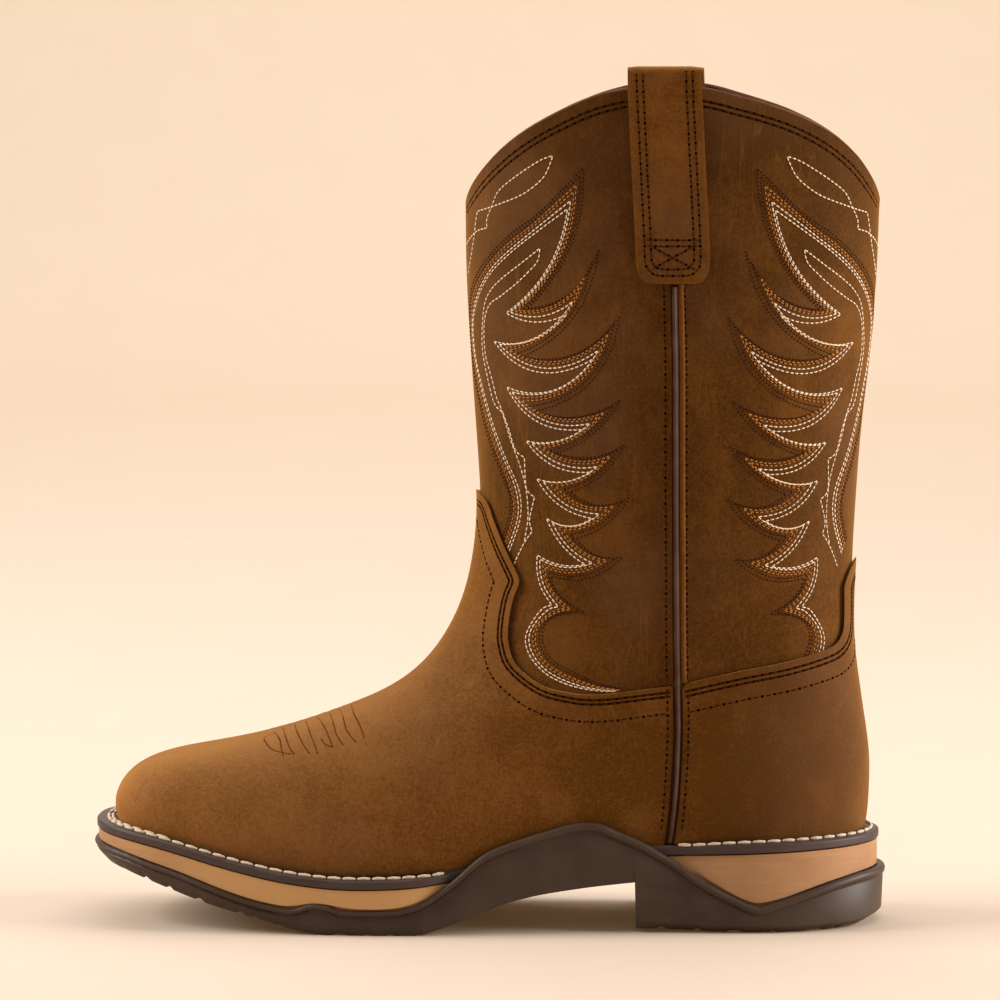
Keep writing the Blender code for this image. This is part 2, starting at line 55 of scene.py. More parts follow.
# %% [markdown]
# ## Working with one piece at a time
# Blender's operators act on whatever is selected, so each step first selects one piece alone.
# A solid arrives as loose triangles. They could be used as they are, but they shade as flat facets,
# so a copy is merged and its triangles are joined back into quads, which subdivide smoothly.


# %% Helpers for selecting, copying and finishing a piece
MERGE = 0.01
QUAD_BEND = math.radians(30)
QUAD_SKEW = math.radians(120)


def only(piece):
    """Select one piece, and nothing else."""
    bpy.ops.object.select_all(action="DESELECT")
    piece.select_set(True)
    bpy.context.view_layer.objects.active = piece


@contextmanager
def editing(piece, pick="SELECT", kind=None):
    """Edit one piece with all or none of it selected, then go back to object mode."""
    only(piece)
    bpy.ops.object.mode_set(mode="EDIT")
    if kind:
        bpy.ops.mesh.select_mode(type=kind)
    bpy.ops.mesh.select_all(action=pick)
    yield
    bpy.ops.object.mode_set(mode="OBJECT")


def finish_with(piece, kind, **settings):
    """Add one modifier to a piece, set it and apply it."""
    only(piece)
    modifier = piece.modifiers.new(kind.lower(), kind)
    for name, value in settings.items():
        setattr(modifier, name, value)
    bpy.ops.object.modifier_apply(modifier=modifier.name)


def new_piece(name, data):
    """A new object in the scene, at the origin."""
    piece = bpy.data.objects.new(name, data)
    bpy.context.scene.collection.objects.link(piece)
    return piece


def piece_from(name, corners, faces):
    """A new piece from its corner points and its faces."""
    mesh = bpy.data.meshes.new(name)
    mesh.from_pydata(corners, [], faces)
    return new_piece(name, mesh)


def copy_of_solid(node, name):
    """A merged copy of one solid, with quads where its triangles pair up."""
    piece = new_piece(name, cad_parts[node].data.copy())
    piece.data.materials.clear()
    with editing(piece):
        bpy.ops.mesh.remove_doubles(threshold=MERGE * MM)
        bpy.ops.mesh.customdata_custom_splitnormals_clear()
        bpy.ops.mesh.mark_sharp(clear=True)
        bpy.ops.mesh.tris_convert_to_quads(
            face_threshold=QUAD_BEND, shape_threshold=QUAD_SKEW, topology_influence=2.0)
    return piece


def crease_corners(piece, sharper_than, hold):
    """Mark the corner edges, so that subdivision keeps them in place."""
    with editing(piece, "DESELECT", "EDGE"):
        bpy.ops.mesh.edges_select_sharp(sharpness=math.radians(sharper_than))
        bpy.ops.transform.edge_crease(value=hold)


def round_off(piece, levels, corners=50, edge=0.0, hold=1.0):
    """Subdivide a piece, keep its corners, then round those corners a little."""
    crease_corners(piece, corners, hold)
    finish_with(piece, "SUBSURF", levels=levels, render_levels=levels)
    if edge:
        finish_with(piece, "BEVEL", width=edge * MM, segments=2, limit_method="ANGLE",
                    angle_limit=math.radians(corners), use_clamp_overlap=True)


def face_outwards(piece):
    """Turn every face of a closed piece outwards."""
    with editing(piece):
        bpy.ops.mesh.normals_make_consistent(inside=False)


def shade(piece, angle=40):
    """Shade a piece smoothly, apart from its corners."""
    only(piece)
    bpy.ops.object.shade_smooth_by_angle(angle=math.radians(angle))


def dress(piece, material, slot, *nodes):
    """Give a finished piece its material, attach it to the root, and hide the solids that it stands for.
    The slot is not used.
    """
    piece.data.materials.clear()
    piece.data.materials.append(material)
    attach(piece, "root")
    if nodes:
        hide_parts(*nodes)
    print(f"{piece.name}: {len(piece.data.polygons)} faces, {material.name}")


# %% [markdown]
# ## A small language for materials
# A material is a web of nodes. Written out link by link it is long and hard to read, so one small
# class wraps a socket: sums on it add Math nodes, and its node method adds any other node.


# %% The wire class
class Wire:
    """One socket of a material's node tree."""

    def __init__(self, tree, socket=None):
        self.tree = tree
        self.socket = socket

    def node(self, kind, settings=None, inputs=None, output=0):
        """Add a node: its type, its settings, and values or wires for its sockets."""
        made = self.tree.nodes.new("ShaderNode" + kind)
        for name, value in (settings or {}).items():
            setattr(made, name, value)
        for key, value in (inputs or {}).items():
            if isinstance(value, Wire):
                self.tree.links.new(value.socket, made.inputs[key])
            else:
                made.inputs[key].default_value = value
        return Wire(self.tree, made.outputs[output])

    def math(self, operation, first, second):
        return self.node("Math", {"operation": operation}, {0: first, 1: second})

    def __add__(self, other):
        return self.math("ADD", self, other)

    def __sub__(self, other):
        return self.math("SUBTRACT", self, other)

    def __rsub__(self, other):
        return self.math("SUBTRACT", other, self)

    def __mul__(self, other):
        return self.math("MULTIPLY", self, other)

    def size(self):
        """The value without its sign."""
        return self.node("Math", {"operation": "ABSOLUTE"}, {0: self})

    __radd__ = __add__
    __rmul__ = __mul__


def start_material(name, **constants):
    """A new material with its constant sockets set, and a wire to build its nodes from."""
    material = bpy.data.materials.new(name)
    material.use_nodes = True
    shader = material.node_tree.nodes["Principled BSDF"]
    for socket, value in constants.items():
        shader.inputs[socket.replace("_", " ")].default_value = value
    return material, Wire(material.node_tree), shader


def connect(shader, **wires):
    """Link wires to the shader's sockets."""
    for socket, wire in wires.items():
        wire.tree.links.new(wire.socket, shader.inputs[socket.replace("_", " ")])


def object_place(wire, stretch=(1, 1, 1), turn=(0, 0, 0)):
    """Object coordinates, stretched and turned."""
    place = wire.node("TexCoord", output="Object")
    return wire.node("Mapping", None, {"Vector": place, "Scale": stretch, "Rotation": turn})


def coordinate(place, axis):
    """One coordinate of a place: X, Y or Z."""
    return place.node("SeparateXYZ", None, {"Vector": place}, output=axis)


def noise(place, scale, detail=4.0, roughness=0.55):
    """Soft clouds, as many to the metre as the scale says."""
    return place.node("TexNoise", None, {
        "Vector": place, "Scale": scale, "Detail": detail, "Roughness": roughness})


def cells(place, scale, feature="F1"):
    """How far each place lies from the nearest of many scattered points."""
    return place.node("TexVoronoi", {"feature": feature}, {"Vector": place, "Scale": scale},
                      output="Distance")


def between(wire, low, high):
    """A wire remapped so that low becomes 0 and high becomes 1, cut off outside."""
    return wire.node("MapRange", {"clamp": True}, {
        "Value": wire, "From Min": low, "From Max": high})


def tint(mask, first, second):
    """A colour that turns from the first to the second as the mask rises."""
    def full(colour):
        return colour if isinstance(colour, Wire) else (*colour, 1.0)
    return mask.node("Mix", {"data_type": "RGBA"}, {
        0: mask, 6: full(first), 7: full(second)}, output=2)


def bump(height, depth_mm, strength):
    """A normal that follows a height of so many millimetres."""
    return height.node("Bump", None, {
        "Height": height, "Distance": depth_mm * MM, "Strength": strength})


# %% [markdown]
# ## Oiled nubuck
# The upper is brushed, oiled leather. Where it is rubbed or stretched the oil moves away and it
# turns lighter, so the colour drifts in soft clouds with faint pale scuffs. A photograph could
# give that, but noise does it without any picture: clouds of several sizes, a few stretched streaks
# for scuffs, and a fine nap in the bump. Light and shade are painted in too: the toe is paler, which
# is painted light and also stands for worn leather, and the collar and the heel are darker, the heel
# also cooler, which is painted shade.

# %% Leather materials
SCUFF_LEAN = (0.0, 0.35, 0.2)
SCUFF_STRETCH = (260, 60, 22)
SCRATCH_TURNS = ((0.0, 0.25, 0.0), (0.0, -0.55, 0.3))
SCRATCH_STRETCH = (150, 150, 12)
# Painted light on the toe, which also stands for paler worn leather; painted shade darkens the collar and
# the heel, and cools the heel.
TOE_PAINTED_LIGHT = (-0.06, -0.24)
COLLAR_PAINTED_SHADE = (0.20, 0.28)
HEEL_PAINTED_SHADE = (-0.09, -0.01)
HEEL_COOL_PAINTED_SHADE = (-0.015, 0.015)
GRAIN_SCALE, NAP_SCALE, PORE_SCALE = 560.0, 1150.0, 900.0
NAP_SHINE = 0.035
NAP_SHEEN = 0.50
NAP_COLOUR = (0.82, 0.39, 0.09)
COOL_BROWN = (0.105, 0.046, 0.020)


def scratches(wire, turn):
    """Hairlines: the narrow band where long drawn-out noise crosses its middle value."""
    long_noise = noise(object_place(wire, SCRATCH_STRETCH, turn), 1.0, 1.0)
    return 1 - between((long_noise - 0.5).size(), 0.002, 0.012)


def oiled_leather(name, deep, body, pale, cloud=26.0, toe=0.0, collar=0.0, heel=0.0):
    """Brushed leather, from deep to pale, with shares of a pale toe (painted light, which also stands for
    worn leather) and of a dark collar and a dark, cool heel (painted shade).
    """
    material, wire, shader = start_material(
        name, Specular_IOR_Level=NAP_SHINE, Sheen_Weight=NAP_SHEEN, Sheen_Roughness=0.5,
        Sheen_Tint=(*NAP_COLOUR, 1.0))
    place = object_place(wire)
    up, ahead = coordinate(place, "Z"), coordinate(place, "X")
    clouds = noise(place, cloud, 5.0, 0.6)
    drift = noise(place, cloud * 0.6, 2.0, 0.5)
    patches = noise(place, cloud * 4.3, 4.0, 0.6)
    grain = noise(place, GRAIN_SCALE, 3.0, 0.6)
    nap = noise(place, NAP_SCALE, 2.0, 0.65)
    pores = cells(place, PORE_SCALE)
    scuffs = between(noise(object_place(wire, SCUFF_STRETCH, SCUFF_LEAN), 1.0, 3.0), 0.64, 0.80)
    hairs = scratches(wire, SCRATCH_TURNS[0]) + scratches(wire, SCRATCH_TURNS[1])
    rubbed = between(noise(place, cloud * 0.7, 2.0), 0.46, 0.64)
    tone = between(clouds * 0.50 + patches * 0.20 + grain * 0.45 + nap * 0.85, 0.85, 1.15)
    # Painted shade: darker towards the top of the collar and at the heel.
    tone = tone - between(up, *COLLAR_PAINTED_SHADE) * collar - between(ahead, *HEEL_PAINTED_SHADE) * heel
    colour = tint(tone, deep, body)
    colour = tint(between(drift, 0.50, 0.66) * 0.5, colour, COOL_BROWN)
    colour = tint(between(patches * 0.3 + clouds * 0.7, 0.48, 0.72) * 0.3, colour, pale)
    # Painted light: the toe turns paler, which also stands for its worn leather.
    colour = tint(between(ahead, *TOE_PAINTED_LIGHT) * (tone * 0.6 + 0.7) * toe, colour, pale)
    # Painted shade: the heel turns a cooler brown.
    colour = tint(between(ahead, *HEEL_COOL_PAINTED_SHADE) * heel, colour, COOL_BROWN)
    colour = tint((scuffs * 0.4 + hairs * 0.22) * rubbed, colour, pale)
    connect(shader, Base_Color=colour, Roughness=0.60 + nap * 0.18 - tone * 0.06,
            Normal=bump(nap * 0.7 + pores * 0.35 + patches * 0.9, 0.18, 0.6))
    return material


# The collar's and the heel's shares are painted shade, the toe's share is painted light.
shaft_leather = oiled_leather("shaft_nubuck", (0.053, 0.0178, 0.0024), (0.103, 0.0358, 0.0048),
                              (0.215, 0.082, 0.017), collar=0.45)
foot_leather = oiled_leather("foot_nubuck", (0.078, 0.0262, 0.0030), (0.138, 0.0485, 0.0062),
                             (0.265, 0.109, 0.030), 22.0, toe=0.66, heel=0.45)
strap_leather = oiled_leather("strap_nubuck", (0.084, 0.0275, 0.0036), (0.145, 0.050, 0.0072),
                              (0.225, 0.088, 0.019), 34.0)
# A lighter copy of the nubuck for the seam ridges: painted light where they catch the side lamps.
ridge_painted_light = oiled_leather("ridge_nubuck", (0.125, 0.0420, 0.0058), (0.190, 0.0650, 0.0095),
                              (0.240, 0.094, 0.020), 34.0)
print("brushed leathers:", shaft_leather.name, foot_leather.name, strap_leather.name, ridge_painted_light.name)

# %% [markdown]
# The piping and the collar's binding are thin finished leather, smoother and a little shinier. The
# strips of painted shade for the grooves and creases that thread presses into leather use the same
# finish, darker and quite dull.


# %% Smooth leathers
def smooth_leather(name, body, worn, rough, shine):
    """Thin finished leather, from its own colour to a worn one."""
    material, wire, shader = start_material(name, Specular_IOR_Level=shine)
    place = object_place(wire)
    cloud = noise(place, 90.0, 4.0)
    connect(shader, Base_Color=tint(between(cloud, 0.4, 0.7), body, worn), Roughness=rough + cloud * 0.12,
            Normal=bump(cells(place, 1600.0) + cloud * 0.3, 0.08, 0.5))
    return material


piping_leather = smooth_leather(
    "piping_leather", (0.044, 0.0182, 0.0100), (0.074, 0.0350, 0.0220), 0.42, 0.13)
binding_leather = smooth_leather(
    "collar_binding", (0.115, 0.0440, 0.0190), (0.175, 0.0760, 0.0370), 0.60, 0.05)
# Painted shade: dark strips for the thread's grooves and the toe's creases.
groove_painted_shade = smooth_leather(
    "pressed_groove", (0.033, 0.0090, 0.0010), (0.048, 0.0140, 0.0018), 0.80, 0.0)
crease_painted_shade = smooth_leather(
    "pressed_crease", (0.150, 0.0540, 0.0120), (0.185, 0.0690, 0.0165), 0.80, 0.0)
print("smooth leathers:", piping_leather.name, binding_leather.name, groove_painted_shade.name)

# %% [markdown]
# ## Rubber
# The sole is moulded rubber in three colours. Its skin is not perfectly even: there are faint
# flow lines and a fine matt grain. Long thin noise gives the flow lines of the tan layer, which is
# paler under the forefoot. Fine slanting bars hatch the outsole's wing.


# %% Rubber materials
HATCH_TURN = (0.0, 0.95, 0.0)
HATCH_SCALE = 210.0
HATCH_ENDS = (0.012, -0.012)
FOREFOOT_PALE_FROM, FOREFOOT_PALE_TIP = (-0.075, -0.125), (-0.238, -0.188)
FOREFOOT_PALE_SHARE = 0.8
TAN_FLOW, SOLE_FLOW = (30, 30, 420), (70, 70, 110)
RUBBER_SHINE = 0.35


def moulded_rubber(name, body, dusty, rough, flow=TAN_FLOW, flow_depth=0.05, hatch=0.0, forefoot_pale=None):
    """Matt rubber with flow lines, and with a share of hatching or a paler forefoot."""
    material, wire, shader = start_material(name, Specular_IOR_Level=RUBBER_SHINE)
    place = object_place(wire)
    ahead = coordinate(place, "X")
    lines = noise(object_place(wire, flow), 1.0, 4.0)
    cloud = noise(place, 60.0, 4.0)
    grain = noise(place, 2200.0, 2.0)
    dust = between(cloud * 0.5 + lines * 0.5, 0.40, 0.66)
    bars = place.node("TexWave", {"bands_direction": "X"}, {
        "Vector": object_place(wire, turn=HATCH_TURN), "Scale": HATCH_SCALE})
    hatching = bars * between(ahead, *HATCH_ENDS) * hatch
    colour = tint(dust, body, dusty)
    if forefoot_pale:
        forefoot = between(ahead, *FOREFOOT_PALE_FROM) * between(ahead, *FOREFOOT_PALE_TIP)
        colour = tint(forefoot * FOREFOOT_PALE_SHARE, colour, forefoot_pale)
    connect(shader, Base_Color=colour, Roughness=rough + grain * 0.14 + dust * 0.08,
            Normal=bump(lines + grain * 0.35 + hatching, flow_depth, 0.6))
    return material


welt_rubber = moulded_rubber("welt_rubber", (0.040, 0.0215, 0.0155), (0.066, 0.0380, 0.0290), 0.42)
tan_rubber = moulded_rubber("tan_midsole", (0.350, 0.170, 0.070), (0.430, 0.225, 0.100), 0.55,
                            flow_depth=0.16, forefoot_pale=(0.575, 0.308, 0.114))
sole_rubber = moulded_rubber("outsole_rubber", (0.039, 0.0193, 0.0098), (0.061, 0.0327, 0.0188), 0.40,
                             flow=SOLE_FLOW, hatch=2.0)
print("rubbers:", welt_rubber.name, tan_rubber.name, sole_rubber.name)

# %% [markdown]
# ## Cloth and thread
# The lining and the insole's cover are a plain knit, so scattered cells stand for its loops. Thread
# is waxed: a slightly shiny twist in several colours. A needle hole is the same finish, almost black:
# painted shade inside the hole.


# %% Cloth and thread materials
def woven_cloth(name, body, thread, scale):
    """A plain knit for the lining and the insole's cover."""
    material, wire, shader = start_material(name, Specular_IOR_Level=0.1)
    place = object_place(wire)
    loops = cells(place, scale, "SMOOTH_F1")
    fuzz = noise(place, scale * 3.0, 3.0)
    connect(shader, Base_Color=tint(between(loops, 0.15, 0.55), thread, body),
            Roughness=0.8 + fuzz * 0.15, Normal=bump(0.6 - loops + fuzz * 0.2, 0.35, 0.7))
    return material


lining_cloth = woven_cloth("lining_cloth", (0.080, 0.042, 0.027), (0.135, 0.078, 0.052), 520.0)
insole_cloth = woven_cloth("insole_cover", (0.035, 0.028, 0.024), (0.075, 0.062, 0.052), 640.0)


def thread_finish(name, body, pale, shine=0.2):
    """Waxed thread: a slightly shiny twist."""
    material, wire, shader = start_material(name, Specular_IOR_Level=shine)
    place = object_place(wire)
    twist = noise(place, 1300.0, 2.0)
    connect(shader, Base_Color=tint(between(twist, 0.35, 0.65), body, pale),
            Roughness=0.48 + twist * 0.2, Normal=bump(twist, 0.12, 0.6))
    return material


cream_thread = thread_finish("cream_thread", (0.74, 0.56, 0.39), (0.92, 0.76, 0.58))
rust_thread = thread_finish("rust_thread", (0.36, 0.125, 0.018), (0.58, 0.240, 0.055))
cocoa_thread = thread_finish("cocoa_thread", (0.028, 0.0088, 0.0036), (0.056, 0.0205, 0.0100), 0.02)
dark_thread = thread_finish("dark_thread", (0.024, 0.0074, 0.0013), (0.050, 0.0156, 0.0032), 0.02)
# Painted shade: the dark inside of a needle hole.
hole_painted_shade = thread_finish("needle_hole", (0.005, 0.0010, 0.0002), (0.009, 0.0022, 0.0004), 0.0)
welt_thread = thread_finish("welt_thread", (0.50, 0.37, 0.255), (0.69, 0.54, 0.395))
print("threads:", cream_thread.name, rust_thread.name, cocoa_thread.name, dark_thread.name)

# %% [markdown]
# ## The upper
# The upper is one piece of leather, closed round the leg and the foot. Subdividing the copied
# solid makes it smooth, and creases hold the collar and the sole's edge where the solid has them.
# Worn leather is not as even as the solid, so small rules then move its points: the collar dips and
# rises, the tip of the toe is set down, and a few troughs lie where the leather bends. Sculpting by
# hand would do it too, but a rule can be read and changed.

# %% Upper
upper = copy_of_solid("upper", "boot_upper")
round_off(upper, 2)
Rise = namedtuple("Rise", "x up")
COLLAR_RISE = (
    Rise(-105, -0.4), Rise(-84, -1.1), Rise(-74, -1.4), Rise(-62, -0.5), Rise(-45, 0.0),
    Rise(-18, -0.4), Rise(-8, -1.2), Rise(2, -0.7), Rise(8, 0.0), Rise(18, 1.1), Rise(28, 2.4),
    Rise(34, 2.8), Rise(42, 2.3),
)
COLLAR_BAND = (235, 280)
NEAR_DIP, NEAR_BAND = 1.3, (255, 290)
DIP_MIDDLE, DIP_WIDE = -31, 38
BACK_MOVE, BACK_BAND = 0.7, (0, 35)
TOE_MOVE, TOE_BAND = -0.6, (215, 232)
TIP_DROP, TIP_BAND = 1.6, (204, 244)
TIP_REACH, REACH_BAND = 0.65, (225, 243)
INNER_DROP, INNER_BAND, INNER_SIDE = 0.6, (200, 236), (-15, 25)
TIP_TOP = (38, 60)
Trough = namedtuple("Trough", "x0 z0 x1 z1 depth width")
TROUGHS = (
    Trough(-160, 52, -140, 36, 0.45, 6.0), Trough(-136, 78, -128, 52, 0.40, 8.0),
    Trough(-112, 96, -104, 66, 0.35, 9.0), Trough(-14, 190, -4, 140, 0.60, 12.0),
    Trough(-62, 214, -70, 150, 0.50, 12.0), Trough(8, 84, 16, 52, 0.35, 10.0),
)


def ramp(values, low, high):
    """0 below low, 1 above high, and a soft step between them."""
    share = np.clip((values - low) / (high - low), 0.0, 1.0)
    return share * share * (3 - 2 * share)


def ease(piece, rule):
    """Move each point of a piece by a rule that is given the points in millimetres."""
    places = np.empty(len(piece.data.vertices) * 3)
    piece.data.vertices.foreach_get("co", places)
    places = places.reshape(-1, 3)
    piece.data.vertices.foreach_set("co", (places + rule(places / MM) * MM).ravel())
    piece.data.update()


def from_table(table, column, at, along="x"):
    """One column of a short table, read off between its rows."""
    return np.interp(at, [getattr(row, along) for row in table], [getattr(row, column) for row in table])


def lowered_tip(places):
    """The tip of the toe set down and drawn out, a little more on its inner side."""
    x, y, _ = places.T
    move = np.zeros_like(places)
    move[:, 0] = -TIP_REACH * ramp(-x, *REACH_BAND)
    move[:, 2] = -TIP_DROP * ramp(-x, *TIP_BAND)
    move[:, 2] -= INNER_DROP * ramp(-x, *INNER_BAND) * ramp(y, *INNER_SIDE)
    return move


def worn_shape(places):
    """The collar's true line, the fuller heel and toe, and a few soft troughs in the leather."""
    x, y, z = places.T
    move = np.zeros_like(places)
    move[:, 2] += lowered_tip(places)[:, 2] * (1 - ramp(z, *TIP_TOP))
    move[:, 2] += from_table(COLLAR_RISE, "up", x) * ramp(z, *COLLAR_BAND)
    near = np.where(y < 0, 1.0, 0.0) * ramp(z, *NEAR_BAND)
    move[:, 2] -= NEAR_DIP * near * np.exp(-((x - DIP_MIDDLE) / DIP_WIDE) ** 2)
    move[:, 0] += BACK_MOVE * ramp(x, *BACK_BAND) + TOE_MOVE * ramp(-x, *TOE_BAND)
    for t in TROUGHS:
        run = np.array((t.x1 - t.x0, t.z1 - t.z0))
        share = np.clip(((x - t.x0) * run[0] + (z - t.z0) * run[1]) / (run @ run), 0, 1)
        away = np.hypot(x - t.x0 - share * run[0], z - t.z0 - share * run[1])
        move[:, 1] -= np.sign(y) * t.depth * np.exp(-(away / t.width) ** 2)
    return move


ease(upper, worn_shape)
print("upper:", len(upper.data.vertices), "points moved")

# %% [markdown]
# The outer and the inner skin are copied off the upper. The overlays are cut from the outer one, and
# the stitches are laid on it. The inner one becomes the lining.

# %% Outer skin and inner skin
SKIN_START = (-33, -60, 180)
LINING_START = (-33, -30, 180)
SKIN_TURN = math.radians(45)


def skin_of(piece, name, start):
    """A copy of the faces joined smoothly to the face nearest a starting point."""
    place = Vector(start) * MM
    with editing(piece, "DESELECT", "FACE"):
        shape = bmesh.from_edit_mesh(piece.data)
        first = min(shape.faces, key=lambda face: (face.calc_center_median() - place).length)
        first.select = True
        bmesh.update_edit_mesh(piece.data)
        bpy.ops.mesh.faces_select_linked_flat(sharpness=SKIN_TURN)
        bpy.ops.mesh.duplicate()
        bpy.ops.mesh.separate(type="SELECTED")
    skin = next(item for item in bpy.context.selected_objects if item is not piece)
    skin.name = name
    return skin


def tree_of(piece):
    """A search tree for laying things on a piece's surface."""
    shape = bmesh.new()
    shape.from_mesh(piece.data)
    tree = BVHTree.FromBMesh(shape)
    shape.free()
    return tree


skin = skin_of(upper, "outer_skin", SKIN_START)
lining = skin_of(upper, "lining", LINING_START)
SKIN = tree_of(skin)
print("outer skin:", len(skin.data.polygons), "faces; lining:", len(lining.data.polygons))

# %% [markdown]
# The lining is the inner skin with a little thickness of its own, just clear of the leather.

# %% Lining
LINING_CLEAR = 0.15
LINING_THICK = 0.5


def push_out(piece, distance):
    """Move a skin along its normals."""
    with editing(piece):
        bpy.ops.transform.shrink_fatten(value=distance * MM)


push_out(lining, LINING_CLEAR)
finish_with(lining, "SOLIDIFY", thickness=LINING_THICK * MM, offset=1.0)
shade(lining)
dress(lining, lining_cloth, "insole_cloth")

# %% [markdown]
# ## Vamp and counter
# Two overlays cover the foot: the vamp in front and the counter at the heel. Their edges are
# pattern lines seen from the side. Each is a thickened patch of the outer skin, cut by a solid
# in the shape of its pattern, so it lies on the upper everywhere and its edge is clean.

# %% Pattern lines, in millimetres seen from the side
Edge = namedtuple("Edge", "x z")
VAMP_EDGE = (
    Edge(-31, 88.8), Edge(-40.2, 87.8), Edge(-53.9, 86.2), Edge(-61.2, 85.9), Edge(-67.7, 86.5),
    Edge(-78.3, 89.0), Edge(-87.7, 95.9), Edge(-90.6, 102.8), Edge(-90.9, 109.0),
    Edge(-89.5, 118.0), Edge(-87.4, 123.6),
)
TONGUE_EDGE = (
    Edge(-87.4, 123.6), Edge(-87.0, 126.4), Edge(-88.5, 129.8), Edge(-92.9, 138.3),
    Edge(-96.8, 147.3), Edge(-98.6, 151.9), Edge(-101.5, 155.4), Edge(-112.0, 161.0),
)
COUNTER_EDGE = (
    Edge(-31, 88.6), Edge(-24.3, 90.3), Edge(-7.8, 93.8), Edge(9.2, 96.8), Edge(22.9, 100.3),
    Edge(27.7, 102.6), Edge(30.0, 106.2), Edge(30.6, 111.0), Edge(30.6, 123.0),
)
TAB_EDGE = (Edge(30.6, 123.0), Edge(32.1, 127.4), Edge(34.6, 132.0), Edge(39.0, 138.0))
SEAM_Z = (30.0, 41.2, 62.9, 88.0, 157.0, 232.0, 310.0)
SEAM_X = (-33.0, -31.3, -29.8, -30.2, -31.0, -33.0, -33.5)
PIPING_Z = (30.0, 42.0, 53.0, 63.0, 74.0, 85.0, 103.0, 163.0, 206.0, 232.0, 310.0)
PIPING_X = (-32.6, -30.9, -30.1, -29.5, -29.3, -29.5, -29.8, -30.2, -30.3, -30.9, -31.6)
print("pattern points:", len(VAMP_EDGE + TONGUE_EDGE + COUNTER_EDGE + TAB_EDGE))


# %% Smooth lines
def through(points, steps):
    """A smooth line through points of any number of coordinates."""
    ends = [points[0], *points, points[-1]]
    line = []
    for k in range(1, len(ends) - 2):
        before, start, end, after = (np.array(ends[k + n], float) for n in (-1, 0, 1, 2))
        for t in np.arange(steps) / steps:
            line.append(0.5 * (2 * start + (end - before) * t
                               + (2 * before - 5 * start + 4 * end - after) * t ** 2
                               + (3 * start - before - 3 * end + after) * t ** 3))
    return line + [np.array(points[-1], float)]


def seam_x(z):
    """The solid's side seam, from which the stitching is measured."""
    return np.interp(z, SEAM_Z, SEAM_X)


def piping_x(z):
    """The middle of the piping, which leans a little away from the solid's seam."""
    return np.interp(z, PIPING_Z, PIPING_X)


# %% Cutting an overlay to its pattern
GAP = 0.3
OVERLAY = 1.2
OVERLAY_EDGE = 0.45
OVERLAY_CORNER = math.radians(55)
PATTERN_HALF = 80.0
PATTERN_STEPS = 6
SEAM_SLOT = 1.8
SEAM_TOP = 88
SEAM_SHORT = 0.6
SLOT_CLEAR = 0.5


def pattern_solid(name, outline):
    """An outline in the side view, filled and extruded across the boot."""
    corners = [(x * MM, -PATTERN_HALF * MM, z * MM) for x, z in outline]
    piece = piece_from(name, corners, [range(len(corners))])
    with editing(piece):
        bpy.ops.mesh.extrude_region_move(
            TRANSFORM_OT_translate={"value": (0, 2 * PATTERN_HALF * MM, 0)})
    face_outwards(piece)
    return piece


def seam_side(shift):
    """The side of a pattern that runs up along the piping."""
    heights = np.linspace(PIPING_Z[0], VAMP_EDGE[0].z - SEAM_SHORT, 10)
    return [(piping_x(PIPING_Z[0]) + shift, 0.0)] + [(piping_x(z) + shift, z) for z in heights]


def keep_side(piece, place, normal):
    """Cut a skin by a plane and keep the part behind it."""
    with editing(piece):
        bpy.ops.mesh.bisect(plane_co=Vector(place) * MM, plane_no=normal, clear_outer=True)


def overlay(name, planes, outline):
    """A thickened patch of the outer skin, cut to a pattern."""
    piece = new_piece(name, skin.data.copy())
    for place, normal in planes:
        keep_side(piece, place, normal)
    push_out(piece, GAP)
    finish_with(piece, "SOLIDIFY", thickness=OVERLAY * MM, offset=1.0)
    cutter = pattern_solid(name + "_pattern", outline)
    finish_with(piece, "BOOLEAN", object=cutter, operation="INTERSECT", solver="EXACT")
    bpy.data.objects.remove(cutter)
    finish_with(piece, "BEVEL", width=OVERLAY_EDGE * MM, segments=3, limit_method="ANGLE",
                angle_limit=OVERLAY_CORNER, use_clamp_overlap=True)
    shade(piece, 50)
    return piece


# %% Vamp and counter
VAMP_PLANES = (((-22, 0, 0), (1, 0, 0)), ((0, 0, 170), (0, 0, 1)))
VAMP_CORNERS = [(-320, 161.0), (-320, 0.0)]
COUNTER_PLANES = (((-40, 0, 0), (-1, 0, 0)), ((0, 0, 150), (0, 0, 1)))
COUNTER_CORNERS = [(120, 138.0), (120, 0.0)]
seam_ahead = piping_x(SEAM_TOP) - SEAM_SLOT - SLOT_CLEAR
seam_behind = piping_x(SEAM_TOP) + SEAM_SLOT + SLOT_CLEAR
vamp_line = [point for point in through(VAMP_EDGE, PATTERN_STEPS) if point[0] < seam_ahead]
vamp_line += through(TONGUE_EDGE, PATTERN_STEPS)[1:]
vamp = overlay("boot_vamp", VAMP_PLANES, seam_side(-SEAM_SLOT) + vamp_line + VAMP_CORNERS)
counter_line = [point for point in through(COUNTER_EDGE, PATTERN_STEPS) if point[0] > seam_behind]
counter_line += through(TAB_EDGE, PATTERN_STEPS)[1:]
counter = overlay("boot_counter", COUNTER_PLANES, seam_side(SEAM_SLOT) + counter_line + COUNTER_CORNERS)
shade(upper)
dress(upper, shaft_leather, "upper_leather", "upper")
dress(vamp, foot_leather, "upper_leather", "vamp")
dress(counter, foot_leather, "upper_leather", "counter")

# %% [markdown]
# ## Piping and pull straps
# A half-round strip of piping covers each side seam, and a strap folds over the collar above it.
# Both are simple lofts in the solid model, so the copies are rounded and then set a little: the
# piping is pulled to a narrow bead, and the strap leans, as a sewn strap does, and its fold rises.

